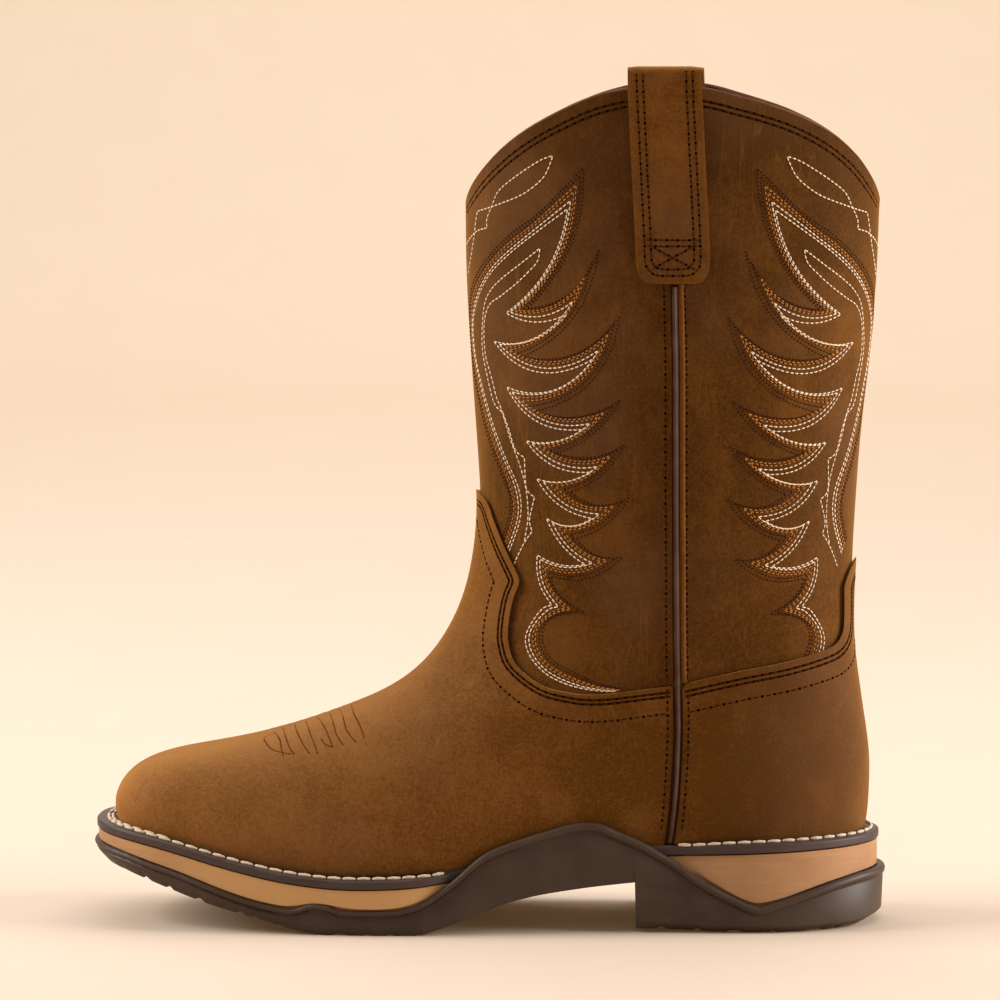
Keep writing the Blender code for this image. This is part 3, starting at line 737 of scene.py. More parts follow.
# %% Piping and straps
PIPING_NARROW = 0.66
STRAP_WIDEN = 1.045
STRAP_LEAN_Z = (230.0, 249.0, 302.0, 312.0)
STRAP_LEAN_X = (1.75, 1.45, -0.95, -1.20)
STRAP_RISE, STRAP_FOLD = 1.9, (296, 308)
STRAP_CORNER, CORNER_BAND = 0.35, (9.0, 12.4)


def narrow_bead(places):
    """The piping pulled to a narrow bead along its own line."""
    x, _, z = places.T
    move = np.zeros_like(places)
    move[:, 0] = piping_x(z) + (x - seam_x(z)) * PIPING_NARROW - x
    return move


def sewn_strap(places):
    """The strap a little wider, leaning, and higher at its fold."""
    x, _, z = places.T
    move = np.zeros_like(places)
    away = x - seam_x(z)
    move[:, 0] = away * (STRAP_WIDEN - 1) + np.interp(z, STRAP_LEAN_Z, STRAP_LEAN_X)
    corner = ramp(np.abs(away), *CORNER_BAND)
    move[:, 2] = (STRAP_RISE - STRAP_CORNER * corner) * ramp(z, *STRAP_FOLD)
    return move


for side in ("outer", "inner"):
    piping = copy_of_solid(f"side_piping_{side}", f"piping_{side}")
    round_off(piping, 2)
    ease(piping, narrow_bead)
    shade(piping)
    dress(piping, piping_leather, "piping_leather", f"side_piping_{side}")
    strap = copy_of_solid(f"pull_strap_{side}", f"strap_{side}")
    round_off(strap, 3, edge=0.5)
    ease(strap, sewn_strap)
    shade(strap)
    dress(strap, strap_leather, "upper_leather", f"pull_strap_{side}")

# %% [markdown]
# ## Welt, midsole and insole
# These three are clean lofts and are rounded as before. The tan midsole reaches down at the heel in
# a sharp wedge, so the lower edge of its copy is drawn down a little there. The welt and the midsole
# follow the upper's toe down at the tip.

# %% Welt, midsole and insole
WEDGE_X = (-30.0, -23.0, -12.0, -1.0, 5.0, 16.0, 24.0)
WEDGE_DROP = (0.0, 0.9, 1.3, 1.8, 1.1, 0.3, 0.0)
WEDGE_FOOT, WEDGE_TOP = (8.5, 11.0), (13, 27)


def sharper_wedge(places):
    """The midsole's lower edge drawn down at the heel."""
    x, _, z = places.T
    move = np.zeros_like(places)
    edge = ramp(z, *WEDGE_FOOT) * (1 - ramp(z, *WEDGE_TOP))
    move[:, 2] = -np.interp(x, WEDGE_X, WEDGE_DROP) * edge
    return move


welt = copy_of_solid("welt", "boot_welt")
round_off(welt, 3, corners=35, hold=0.45)
ease(welt, lowered_tip)
midsole = copy_of_solid("midsole", "boot_midsole")
round_off(midsole, 2, corners=40)
ease(midsole, sharper_wedge)
ease(midsole, lowered_tip)
insole = copy_of_solid("insole", "boot_insole")
round_off(insole, 2, corners=40, edge=0.5)
for piece, material, slot, node in (
        (welt, welt_rubber, "welt_rubber", "welt"),
        (midsole, tan_rubber, "tan_rubber", "midsole"),
        (insole, insole_cloth, "insole_cloth", "insole")):
    shade(piece)
    dress(piece, material, slot, node)

# %% [markdown]
# ## The outsole
# The outsole is one moulding: a tread with shallow bars, a heel block, a wing over the arch and a
# round bead along its top. The solid's copy would show its facets, and its cut grooves would pinch
# under subdivision. So it is lofted again in fine steps: each loop runs round the upper's lower
# edge, some margin outside it and at some height, and both are read from short tables.

# %% Outsole sizes, in millimetres
Level = namedtuple("Level", "x z")
Margin = namedtuple("Margin", "x rim bed tread round bead")
Bar = namedtuple("Bar", "x half deep")
BEAD_TOP = (
    Level(-246, 31.6), Level(-232, 28.7), Level(-221, 24.9), Level(-211, 21.6), Level(-200, 17.6),
    Level(-187, 13.2), Level(-177, 10.7), Level(-168, 9.4), Level(-161, 11.4), Level(-155, 10.9),
    Level(-149, 9.1), Level(-133, 9.2), Level(-127, 10.0), Level(-119.5, 12.6), Level(-109.5, 20.0),
    Level(-101, 27.4), Level(-95, 31.0), Level(-85, 34.6), Level(-74, 37.9), Level(-66, 39.9),
    Level(-58, 40.0), Level(-51, 37.2), Level(-42, 33.2), Level(-33, 28.0), Level(-23, 21.8),
    Level(-12, 16.2), Level(-1, 11.8), Level(5, 12.2), Level(16, 14.9), Level(28, 18.0),
    Level(38, 20.0), Level(48, 20.6),
)
TREAD = (
    Level(-246, 26.8), Level(-235, 22.6), Level(-221, 17.9), Level(-204, 11.7), Level(-191, 7.9),
    Level(-178, 4.8), Level(-168, 1.9), Level(-158, 0.2), Level(-148, 0.0), Level(-100, 0.2),
    Level(-46, 1.4), Level(-30, 0.9), Level(-14, 0.2), Level(0, 0.0), Level(27, 0.0),
    Level(36, 1.2), Level(50, 6.5),
)
BED = (
    Level(-246, 29.0), Level(-221, 22.2), Level(-204, 16.4), Level(-187, 10.6), Level(-168, 7.0),
    Level(-150, 6.4), Level(-128, 6.8), Level(-112, 9.6), Level(-99, 13.2), Level(-81, 17.8),
    Level(-60, 20.6), Level(-45, 21.6), Level(-36, 16.0), Level(-26, 9.5), Level(-18, 7.6),
    Level(48, 7.6),
)
ARCH = (
    Level(-122, 0.0), Level(-112, 3.4), Level(-99, 8.6), Level(-90, 11.6), Level(-80, 14.0),
    Level(-66, 16.1), Level(-56, 17.3), Level(-44.4, 18.5),
)
HEEL_FRONT = -44.4
SOLE_MARGINS = (
    Margin(-236, 9.6, 5.9, 2.4, 5.0, 2.3), Margin(-212, 8.2, 4.9, 5.0, 3.0, 2.1),
    Margin(-121, 7.4, 4.6, 5.6, 2.4, 2.2), Margin(-111, 6.4, 3.2, 5.0, 2.4, 2.8),
    Margin(-60, 6.4, 3.1, 4.0, 2.4, 3.4), Margin(-30, 6.4, 3.1, 2.0, 2.4, 3.2),
    Margin(-17, 7.8, 3.8, 2.8, 2.4, 3.2), Margin(10, 8.6, 4.4, 3.4, 2.4, 3.3),
    Margin(55, 9.6, 4.8, 1.6, 2.4, 3.8),
)
BARS = (
    Bar(-229, 0.8, 0.8), Bar(-221.5, 1.0, 1.0), Bar(-212.8, 0.9, 0.9), Bar(-201.5, 1.3, 0.9),
    Bar(-186.3, 1.0, 0.9), Bar(-181.0, 0.8, 0.7), Bar(-172, 0.8, 0.6), Bar(-150.4, 2.4, 0.7),
    Bar(-140.3, 1.2, 0.7), Bar(-132.4, 1.2, 0.8), Bar(-121.9, 0.9, 0.6), Bar(-35.1, 1.4, 0.8),
    Bar(-22.1, 1.1, 0.8), Bar(-8.9, 2.4, 0.7), Bar(5.3, 0.8, 0.6), Bar(20.0, 2.6, 0.8),
    Bar(26.5, 0.8, 1.0),
)
print("outsole tables:", len(BEAD_TOP), "bead levels,", len(BARS), "bars")

# %% [markdown]
# The upper's lower edge gives the plan. It is evened out and softened first, and its two sides are
# paired across the boot, so that the bed and the tread can be closed with plain rungs.

# %% Places round the sole
EDGE_STEPS = 1600
EDGE_SOFT = 4.0
FEATHER_BELOW = 60.0
FOOT_MIDDLE = -100.0
HEEL_STEP = 0.5


def feather_line():
    """The upper's lower edge, in order round the foot."""
    shape = bmesh.new()
    shape.from_mesh(skin.data)
    low = [v.co.copy() for v in shape.verts if v.is_boundary and v.co.z < FEATHER_BELOW * MM]
    shape.free()
    low.sort(key=lambda place: math.atan2(place.y, place.x - FOOT_MIDDLE * MM))
    return low


def travelled_along(line):
    """How far along a line each of its points lies."""
    return np.concatenate([[0.0], np.cumsum(np.linalg.norm(np.diff(line, axis=0), axis=1))])


def unit(rows, guard=0.0):
    """The same directions, each one unit long. A guard keeps an empty row from dividing by nothing."""
    return rows / (np.linalg.norm(rows, axis=1, keepdims=True) + guard)


def sole_stations():
    """Places round the upper's lower edge, paired across the boot, and their outward directions."""
    line = np.array([tuple(place)[:2] for place in feather_line()]) / MM
    line = np.concatenate([line, line[:1]])
    travelled = travelled_along(line)
    even = np.linspace(0, travelled[-1], EDGE_STEPS, endpoint=False)
    loop = np.stack([np.interp(even, travelled, line[:, k]) for k in (0, 1)], axis=1)
    soften = np.exp(-2 * (math.pi * np.fft.rfftfreq(EDGE_STEPS, even[1]) * EDGE_SOFT) ** 2)
    loop = np.fft.irfft(np.fft.rfft(loop, axis=0) * soften[:, None], EDGE_STEPS, axis=0)
    along = np.roll(loop, -1, axis=0) - np.roll(loop, 1, axis=0)
    out = unit(np.stack([along[:, 1], -along[:, 0]], axis=1))
    toe, heel = loop[:, 0].argmin(), loop[:, 0].argmax()
    outer = np.arange(toe, toe + (heel - toe) % EDGE_STEPS + 1) % EDGE_STEPS
    inner = np.arange(toe, toe - (toe - heel) % EDGE_STEPS - 1, -1) % EDGE_STEPS
    own_places = [HEEL_FRONT - HEEL_STEP, HEEL_FRONT, loop[heel, 0]]
    x = np.unique(np.concatenate([loop[outer[::2], 0], own_places]))

    def along_side(side, values):
        return np.stack([np.interp(x, loop[side, 0], values[side, k]) for k in (0, 1)], axis=1)

    places = np.concatenate([along_side(outer, loop), along_side(inner, loop)[-2:0:-1]])
    return places, np.concatenate([along_side(outer, out), along_side(inner, out)[-2:0:-1]]), len(x)


EDGE, OUTWARD, PAIRS = sole_stations()
print("places round the sole:", len(EDGE))


# %% Heights and margins of the loft
def curve_of(table):
    """A smooth height along the boot, through a table of levels."""
    line = np.array(sorted(tuple(point) for point in through(table, 8)))
    return lambda x: np.interp(x, line[:, 0], line[:, 1])


def margin_of(column):
    """One column of the margins, at each place round the sole."""
    return from_table(SOLE_MARGINS, column, EDGE[:, 0])


def sole_ring(margin, height):
    """A loop round the sole at a margin outside the upper's edge."""
    places = EDGE + OUTWARD * np.reshape(margin, (-1, 1))
    return np.column_stack([places, height(places[:, 0]) if callable(height) else height])


def tread_height():
    """The tread, the depth of its notches, and where the arch takes the tread's place."""
    x = sole_ring(margin_of("tread"), 0 * EDGE[:, 0])[:, 0]
    notch = sum(bar.deep * np.exp(-((x - bar.x) / bar.half) ** 4) for bar in BARS)
    under_arch = (EDGE[:, 0] > ARCH[0].x) & (EDGE[:, 0] < HEEL_FRONT)
    plain = np.where(under_arch, curve_of(ARCH)(EDGE[:, 0]), curve_of(TREAD)(x))
    return plain, np.where(under_arch, 0.0, notch), under_arch


# %% Outsole loft
BEAD_DEEP = 1.5
BEAD_TURNS = np.radians((100, 80, 60, 40, 20, 0, -25, -50, -75))
BED_BELOW = 0.4
GROOVE_IN, GROOVE_BELOW = 1.2, 0.2
WALL_IN, WALL_BELOW = 0.8, 0.8
CORNER_IN, CORNER_EASE, CORNER_RISE = 0.5, 0.05, 0.5
CORNER_BELOW = 1.6
CORNER_SHARE = 0.28
TREAD_EDGE = 0.4
ARCH_ROUND = 0.5
ARCH_IN, ARCH_RISE = 0.7, 2.4


def ladder(first):
    """Faces across the boot, between paired places of one loop."""
    outer = [first + k for k in range(PAIRS)]
    inner = [first] + [first + len(EDGE) - k for k in range(1, PAIRS - 1)] + [first + PAIRS - 1]
    quads = [(outer[k], outer[k + 1], inner[k + 1], inner[k]) for k in range(PAIRS - 1)]
    return [tuple(dict.fromkeys(quad)) for quad in quads]


def band_faces(first, size):
    """Faces between one closed loop of points and the next loop."""
    return [(first + j, first + (j + 1) % size, first + size + (j + 1) % size, first + size + j)
            for j in range(size)]


def lofted_outsole(name):
    """The outsole as loops from its bed, over the bead and down the wall, to its tread."""
    rim, bed, bead = margin_of("rim"), margin_of("bed"), margin_of("bead")
    plain, notch, under_arch = tread_height()
    low = plain + notch
    top = sole_ring(rim, curve_of(BEAD_TOP))[:, 2] - np.interp(EDGE[:, 0], WEDGE_X, WEDGE_DROP)
    wall = rim - WALL_IN
    arch_share = np.where(under_arch, np.interp(low, (0, ARCH_RISE), (0, 1)), 0.0)
    tread = margin_of("tread") * (1 - arch_share) + (wall - ARCH_IN) * arch_share
    corner = np.maximum(plain + np.where(under_arch, ARCH_ROUND, margin_of("round")), low + TREAD_EDGE)
    corner = np.minimum(corner, top - bead - CORNER_BELOW)
    inset = wall - CORNER_IN
    rings = [sole_ring(bed, curve_of(BED)), sole_ring(bed, top - BED_BELOW)]
    rings += [sole_ring(rim - BEAD_DEEP * (1 - math.cos(t)), top - bead / 2 * (1 - math.sin(t)))
              for t in BEAD_TURNS]
    rings += [
        sole_ring(rim - GROOVE_IN, top - bead - GROOVE_BELOW),
        sole_ring(wall, top - bead - WALL_BELOW),
        sole_ring(inset + CORNER_EASE, corner + CORNER_RISE),
        sole_ring(inset, corner),
        sole_ring((tread + inset) / 2, low * (1 - CORNER_SHARE) + corner * CORNER_SHARE),
        sole_ring(tread, low),
    ]
    size = len(EDGE)
    faces = ladder(0) + ladder(size * (len(rings) - 1))
    for k in range(len(rings) - 1):
        faces += band_faces(size * k, size)
    piece = piece_from(name, (np.concatenate(rings) * MM).tolist(), faces)
    face_outwards(piece)
    return piece


outsole = lofted_outsole("boot_outsole")
ease(outsole, lowered_tip)
shade(outsole, 55)
dress(outsole, sole_rubber, "sole_rubber", "outsole")

# %% [markdown]
# ## Collar binding
# A thin rolled strip closes the raw top edge. Its path is the middle of the collar's rim, found by
# picking the rim's upward faces and putting them in order round the leg.

# %% Collar binding
BINDING_RADIUS = 0.9
BINDING_ROUND = 2
RIM_STEPS = 120
RIM_SOFT = 1.5
RIM_ABOVE = 250.0
RIM_UPWARD = 0.55


def collar_rim():
    """Points along the middle of the collar's rim, in order round the leg."""
    rim = [face.center for face in upper.data.polygons
           if face.normal.z > RIM_UPWARD and face.center.z > RIM_ABOVE * MM]
    turns = np.array([math.atan2(c.y, c.x - SEAM_X[-1] * MM) for c in rim])
    order = np.argsort(turns)
    points = np.array([rim[k] for k in order])
    turns = turns[order]
    wrap = np.concatenate([turns - 2 * math.pi, turns, turns + 2 * math.pi])
    even = np.linspace(-math.pi, math.pi, RIM_STEPS, endpoint=False)
    width = RIM_SOFT * 2 * math.pi / RIM_STEPS
    line = []
    for turn in even:
        weight = np.exp(-((wrap - turn) / width) ** 2)
        line.append((np.tile(points, (3, 1)) * weight[:, None]).sum(0) / weight.sum())
    return np.array(line)


def tube(name, line, radius):
    """A closed tube along a closed line."""
    curve = bpy.data.curves.new(name, "CURVE")
    curve.dimensions = "3D"
    curve.bevel_depth = radius
    curve.bevel_resolution = BINDING_ROUND
    spline = curve.splines.new("POLY")
    spline.points.add(len(line) - 1)
    for point, place in zip(spline.points, line):
        point.co = (*place, 1.0)
    spline.use_cyclic_u = True
    piece = new_piece(name, curve)
    only(piece)
    bpy.ops.object.convert(target="MESH")
    return bpy.context.view_layer.objects.active


RIM = collar_rim()
binding = tube("collar_binding", RIM, BINDING_RADIUS * MM)
shade(binding)
dress(binding, binding_leather, "piping_leather")

# %% [markdown]
# ## One stitch, copied many times
# Each row of sewing is hundreds of short stitches of thread. One stitch is modelled from a small
# sphere, drawn out and flattened. Its points are then copied along every row, turned to the row's
# direction and to the leather's surface, and all stitches of one thread are joined in one mesh.
# The needle leaves a hole at each end of a stitch, and the thread presses the leather into a
# groove. Both are painted shade: the holes are small dark dots, and the grooves are flat dark strips
# that lie below the row.


# %% Stitch shape
STITCH_BLUNT = 0.6
STITCH_RAISED = 0.22


def stitch_shape(segments):
    """Points and faces of one stitch, one unit long, wide and high."""
    bpy.ops.object.select_all(action="DESELECT")
    bpy.ops.mesh.primitive_uv_sphere_add(segments=segments, ring_count=4, radius=0.5,
                                         rotation=(0, math.pi / 2, 0))
    ball = bpy.context.active_object
    bpy.ops.object.transform_apply(rotation=True)
    points = np.array([vertex.co for vertex in ball.data.vertices])
    faces = [tuple(face.vertices) for face in ball.data.polygons]
    points[:, 0] = np.sign(points[:, 0]) * 0.5 * np.abs(points[:, 0] * 2) ** STITCH_BLUNT
    bpy.data.objects.remove(ball)
    return points, faces


FINE, STOUT = stitch_shape(5), stitch_shape(6)
print("stitch:", len(FINE[1]), "faces, stout stitch:", len(STOUT[1]), "faces")

# %% [markdown]
# A spool collects where the stitches of one thread go. Sewing along a row only notes their ends, so
# that one mesh can be made of them all at the end. The painted-shade strips of the grooves, and the
# ridges, are noted as strips.

# %% Sewing
Thread = namedtuple("Thread", "name material pitch share wide high groove phase places")
Strip = namedtuple("Strip", "places normals wide high")
GROOVE_HIGH = 0.07
# Strips of painted shade for the grooves and the creases, and the ridges beside the piping.
groove_shade_strips, crease_shade_strips, ridges = [], [], []


def thread(name, material, pitch, share, wide, high, groove=0.0, phase=0.5):
    """An empty spool: its phase says where in each pitch a stitch has its middle."""
    return Thread(name, material, pitch, share, wide, high, groove, phase, [])


def strip_along(row, wide, high):
    """A strip that lies along a row of places and normals."""
    places, normals = (np.array(part) for part in zip(*row))
    return Strip(places, normals, wide, high)


def sew(row, spool):
    """Lay stitches of a thread along a row of places and normals on the leather."""
    if len(row) < 2:
        return
    strip = strip_along(row, spool.groove, GROOVE_HIGH)
    # Under the row lies a dark strip of painted shade where the thread presses a groove.
    if spool.groove:
        groove_shade_strips.append(strip)
    travelled = travelled_along(strip.places)
    count = max(1, round(travelled[-1] / (spool.pitch * MM)))
    step = travelled[-1] / count

    def at(distance, values):
        return np.array([np.interp(distance, travelled, values[:, k]) for k in range(3)]).T

    middle = (np.arange(count) + spool.phase) * step
    start = at(middle - spool.share * step / 2, strip.places)
    end = at(middle + spool.share * step / 2, strip.places)
    spool.places.append((start, end, at(middle, strip.normals)))


# %% Meshes of thread and of strips
TINY = 1e-12


def spool_mesh(spool, shape, slot):
    """Join all the stitches of one thread into a piece."""
    points, faces = shape
    start, end, up = (np.concatenate(part) for part in zip(*spool.places))
    along = end - start
    across = unit(np.cross(up, along))
    up = unit(np.cross(along, across))
    middle = (start + end) / 2 + up * spool.high * MM * STITCH_RAISED
    every = (middle[:, None] + points[None, :, :1] * along[:, None]
             + points[None, :, 1:2] * across[:, None] * spool.wide * MM
             + points[None, :, 2:3] * up[:, None] * spool.high * MM)
    offsets = (np.arange(len(middle)) * len(points)).tolist()
    piece = piece_from(spool.name, every.reshape(-1, 3).tolist(),
                       [tuple(k + shift for k in face) for shift in offsets for face in faces])
    piece.data.shade_smooth()
    dress(piece, spool.material, slot)


def strip_mesh(name, strips, sides, material, slot):
    """Join low half-round strips into one piece, each closed below and at its ends."""
    turns = np.linspace(0, math.pi, sides + 1)
    ring = len(turns)
    corners, faces = [], []
    for strip in strips:
        across = unit(np.cross(strip.normals, np.gradient(strip.places, axis=0)), guard=TINY)
        first = len(corners)
        for place, up, reach in zip(strip.places, strip.normals, across):
            corners += [tuple(place + reach * math.cos(t) * strip.wide * MM / 2
                              + up * math.sin(t) * strip.high * MM) for t in turns]
        last = len(corners) - ring
        for k in range(first, last, ring):
            faces += band_faces(k, ring)
        faces += [tuple(range(first + ring - 1, first - 1, -1)), tuple(range(last, last + ring))]
    piece = piece_from(name, corners, faces)
    face_outwards(piece)
    shade(piece, 70)
    dress(piece, material, slot)


# %% Rows on the leather
ROW_KEPT = 0.93
OUTSIDE = 0.2


def on_skin(place, lift=0.0):
    """The nearest place on the outer skin and its normal, lifted off by some millimetres."""
    spot, normal, _, _ = SKIN.find_nearest(place)
    return spot + normal * lift * MM, normal


def row_beside(line, distance, lift, turn):
    """A row on the leather at a distance from a line of places, to the left or right of it."""
    row = []
    points = np.array(line)
    for k, place in enumerate(line):
        ahead = Vector(line[min(k + 1, len(line) - 1)]) - Vector(line[max(k - 1, 0)])
        spot, normal = on_skin(Vector(place))
        side = normal.cross(ahead).normalized() * turn
        beside, _ = on_skin(spot + side * distance * MM)
        if np.linalg.norm(points - np.array(beside), axis=1).min() > ROW_KEPT * distance * MM:
            row.append(on_skin(beside, lift))
    return row


def edge_on_skin(outline, side):
    """A line of the side view laid on the outer skin, on one side of the boot."""
    line = []
    for x, z in outline:
        spot, _, _, _ = SKIN.ray_cast(Vector((x * MM, side * OUTSIDE, z * MM)), Vector((0, -side, 0)))
        if spot is not None:
            line.append(spot)
    return line


def seam_row(away, heights, side, lift=0.0):
    """A row on the leather beside the piping, ahead of its middle or behind it."""
    line = edge_on_skin([(piping_x(z) + away, z) for z in heights], side)
    return [on_skin(place, lift) for place in line]


# %% [markdown]
# ## Rows along the edges
# Dark thread holds the overlays down in two close rows and one row further in. The same thread
# runs below the collar and on both sides of each piping.

# %% Edge rows
VAMP_ROWS = (1.9, 3.4, 9.7)
COUNTER_ROWS = (2.7, 4.5, 10.5)
COLLAR_ROWS = (4.0, 5.9)
PIPING_ROWS = (-3.8, 3.75)
PIPING_CLEAR = SEAM_SLOT + 0.6
OVERLAY_TOP = GAP + OVERLAY
EDGE_FINE = 8
FOOT_SEAM, SEAM_STOP, SEAM_POINTS = 36.0, 1.0, 30
seam_thread = thread("seam_stitches", dark_thread, 4.7, 0.46, 0.62, 0.36)
# Dark dots of painted shade stand for the needle holes; the close edge rows also lie on a strip of
# painted shade.
needle_holes = thread("needle_holes", hole_painted_shade, 4.7, 0.25, 1.0, 0.26, phase=1.0)
edge_thread = seam_thread._replace(pitch=3.2, share=0.6, groove=0.9)
edge_hole_shade = needle_holes._replace(pitch=3.2, share=0.28)


def sew_with_holes(row, stitches, holes):
    """Sew a row, and a dark dot of painted shade for the needle hole at each end of its stitches."""
    sew(row, stitches)
    sew(row, holes)


def own_side(row, side):
    """The part of a row that stays on one side of the boot."""
    return [(place, normal) for place, normal in row if place.y * side > 0]


def beside_piping(row):
    """The part of a row that keeps clear of the piping."""
    return [(place, normal) for place, normal in row
            if abs(place.x / MM - piping_x(place.z / MM)) > PIPING_CLEAR]


vamp_edge = through(VAMP_EDGE, EDGE_FINE) + through(TONGUE_EDGE, EDGE_FINE)[1:]
counter_edge = through(COUNTER_EDGE, EDGE_FINE) + through(TAB_EDGE, EDGE_FINE)[1:]
for side in (OUTER, INNER):
    for outline, turn, distances in ((vamp_edge, -side, VAMP_ROWS), (counter_edge, side, COUNTER_ROWS)):
        edge = edge_on_skin(outline, side)
        for distance in distances:
            row = beside_piping(own_side(row_beside(edge, distance, OVERLAY_TOP, turn), side))
            close = distance < distances[-1]
            sew_with_holes(row, *((edge_thread, edge_hole_shade) if close else (seam_thread, needle_holes)))
    for away, top in zip(PIPING_ROWS, (VAMP_EDGE[0].z, COUNTER_EDGE[0].z)):
        heights = np.linspace(FOOT_SEAM, top - SEAM_STOP, SEAM_POINTS)
        sew_with_holes(seam_row(away, heights, side, OVERLAY_TOP), seam_thread, needle_holes)

collar_line = [on_skin(Vector(place))[0] for place in RIM]
collar_line.append(collar_line[0])
for distance in COLLAR_ROWS:
    sew_with_holes(row_beside(collar_line, distance, 0.0, -1), edge_thread, edge_hole_shade)
print("edge rows:", len(seam_thread.places))

# %% [markdown]
# ## Unrolling the shaft
# The fancy rows are easier to draw on flat leather. So the shaft is unrolled: a place on it is given
# by its height and by how far ahead of the side seam it lies, measured along the leather.

# %% Shaft map
MAP_HEIGHTS = np.arange(84.0, 303.0, 3.0)
MAP_TURNS = np.radians(np.arange(-100.0, 101.0, 2.5))
MAP_OUTSIDE = 0.4
SEAM_BESIDE = 20.0


def unrolled_row(height, side):
    """Places round one side of the shaft at a height, and how far ahead of the seam they lie."""
    places = []
    for turn in MAP_TURNS:
        out = Vector((-math.sin(turn), side * math.cos(turn), 0))
        middle = Vector((SEAM_X[-1] * MM, 0, height * MM))
        spot, normal, _, _ = SKIN.ray_cast(middle + out * MAP_OUTSIDE, -out)
        if spot is not None and normal.dot(out) > 0:
            places.append(spot)
    places = np.array(places)
    ahead = travelled_along(places)
    near = np.abs(places[:, 1]) > SEAM_BESIDE * MM
    seam = np.interp(-seam_x(height) * MM, -places[near, 0], ahead[near])
    return (ahead - seam) / MM, places


SHAFT_MAP = {side: [unrolled_row(z, side) for z in MAP_HEIGHTS] for side in (OUTER, INNER)}


def on_shaft(ahead, height, side):
    """The place and normal on the shaft, from its place on the unrolled leather."""
    step = (height - MAP_HEIGHTS[0]) / (MAP_HEIGHTS[1] - MAP_HEIGHTS[0])
    low = int(np.clip(math.floor(step), 0, len(MAP_HEIGHTS) - 2))
    ends = []
    for reach, places in SHAFT_MAP[side][low:low + 2]:
        ends.append(np.array([np.interp(ahead, reach, places[:, k]) for k in range(3)]))
    return on_skin(Vector(ends[0] + (ends[1] - ends[0]) * (step - low)))


print("shaft map:", len(MAP_HEIGHTS), "heights")

# %% [markdown]
# Above the overlays the piping lies in a shallow slot between two rows of dark thread, and the edge
# of the back panel stands up beside it as a low ridge. The slot is a flat dark strip of painted shade,
# and the ridge wears a lighter leather, painted light where it catches the side lamps.

# %% Side seams of the shaft
SHAFT_SEAM = np.linspace(90.0, 234.0, 60)
SLOT_WIDE = 3.1
RIDGE_AWAY, RIDGE_WIDE, RIDGE_HIGH = 2.35, 2.0, 0.42
for side in (OUTER, INNER):
    for away in PIPING_ROWS:
        sew_with_holes(seam_row(away, SHAFT_SEAM, side), seam_thread, needle_holes)
    # A flat dark strip of painted shade stands for the piping's slot; the ridge is real, in a lighter
    # leather that is painted light.
    groove_shade_strips.append(strip_along(seam_row(0.0, SHAFT_SEAM, side), SLOT_WIDE, GROOVE_HIGH))
    ridges.append(strip_along(seam_row(RIDGE_AWAY, SHAFT_SEAM, side), RIDGE_WIDE, RIDGE_HIGH))
print("ridges:", len(ridges))

# %% [markdown]
# ## Flame stitching on the shaft
# Western shafts carry nested rows of stitching. Here a row climbs the front, turns over a tall tip
# and comes back down in a comb of curved tines, then curls into a scroll above the vamp. Six rows
# are nested: two cream, two rust and two cocoa. Only the first and the last are drawn. The rows
# between them are blends, which keeps their spacing even. The back panel is the mirror image.

# %% Flame rows
Tine = namedtuple("Tine", "tip_ahead tip_up low_bow cusp_ahead cusp_up next_bow")
FIRST_TINES = (
    Tine(36.5, 260.3, -0.120, 61.7, 222.6, 0.122), Tine(37.2, 222.6, -0.142, 68.1, 212.2, 0.194),
    Tine(27.9, 206.7, -0.176, 62.5, 195.8, 0.161), Tine(32.5, 181.3, -0.103, 54.6, 176.6, 0.141),
    Tine(29.8, 166.0, -0.108, 50.7, 163.0, 0.122), Tine(29.7, 149.3, -0.163, 47.1, 148.8, 0.089),
    Tine(32.3, 132.6, -0.099, 50.7, 135.4, 0.0),
)
LAST_TINES = (
    Tine(30.8, 275.1, -0.124, 52.8, 224.5, 0.169), Tine(25.2, 246.1, -0.149, 55.1, 207.1, 0.163),
    Tine(18.0, 222.4, -0.176, 51.2, 187.5, 0.122), Tine(18.4, 192.2, -0.102, 43.2, 172.6, 0.119),
    Tine(17.2, 176.2, -0.105, 38.0, 158.7, 0.177), Tine(15.9, 157.4, -0.112, 35.9, 142.1, 0.156),
    Tine(18.7, 135.6, -0.150, 45.3, 128.1, 0.0),
)
FIRST_SPINE = (
    (63.0, 135.9), (58.8, 145.4), (57.5, 153.0), (59.0, 160.4), (64.3, 170.2), (69.9, 181.4),
    (75.6, 194.6), (80.3, 206.0), (81.4, 217.0), (77.6, 226.0), (70.0, 235.7), (59.5, 244.3),
    (47.3, 252.8), (36.5, 260.3),
)
LAST_SPINE = (
    (66.5, 141.0), (63.9, 147.2), (62.6, 153.6), (64.1, 159.2), (69.2, 168.2), (74.9, 179.4),
    (80.6, 192.9), (85.0, 205.0), (86.2, 218.5), (82.3, 230.0), (72.5, 240.6), (59.7, 251.0),
    (47.4, 259.1), (30.8, 275.1),
)
FIRST_SCROLL = ((50.7, 135.4), (50.8, 130.0), (49.0, 123.5), (44.8, 117.5))
LAST_SCROLL = ((45.3, 128.1), (44.4, 124.6), (40.5, 120.0), (32.7, 115.3))
FIRST_CURL = (
    (44.8, 117.5), (48.4, 116.3), (52.9, 110.4), (54.9, 105.0), (52.7, 98.8), (46.5, 92.8),
    (37.5, 88.9), (28.0, 87.2), (22.0, 87.0),
)
LAST_CURL = (
    (32.7, 115.3), (40.7, 114.6), (46.5, 111.8), (48.6, 106.0), (46.1, 99.4), (40.5, 95.6),
    (33.0, 92.2), (26.9, 89.7), (18.5, 87.8),
)
LINE_STEPS = 6


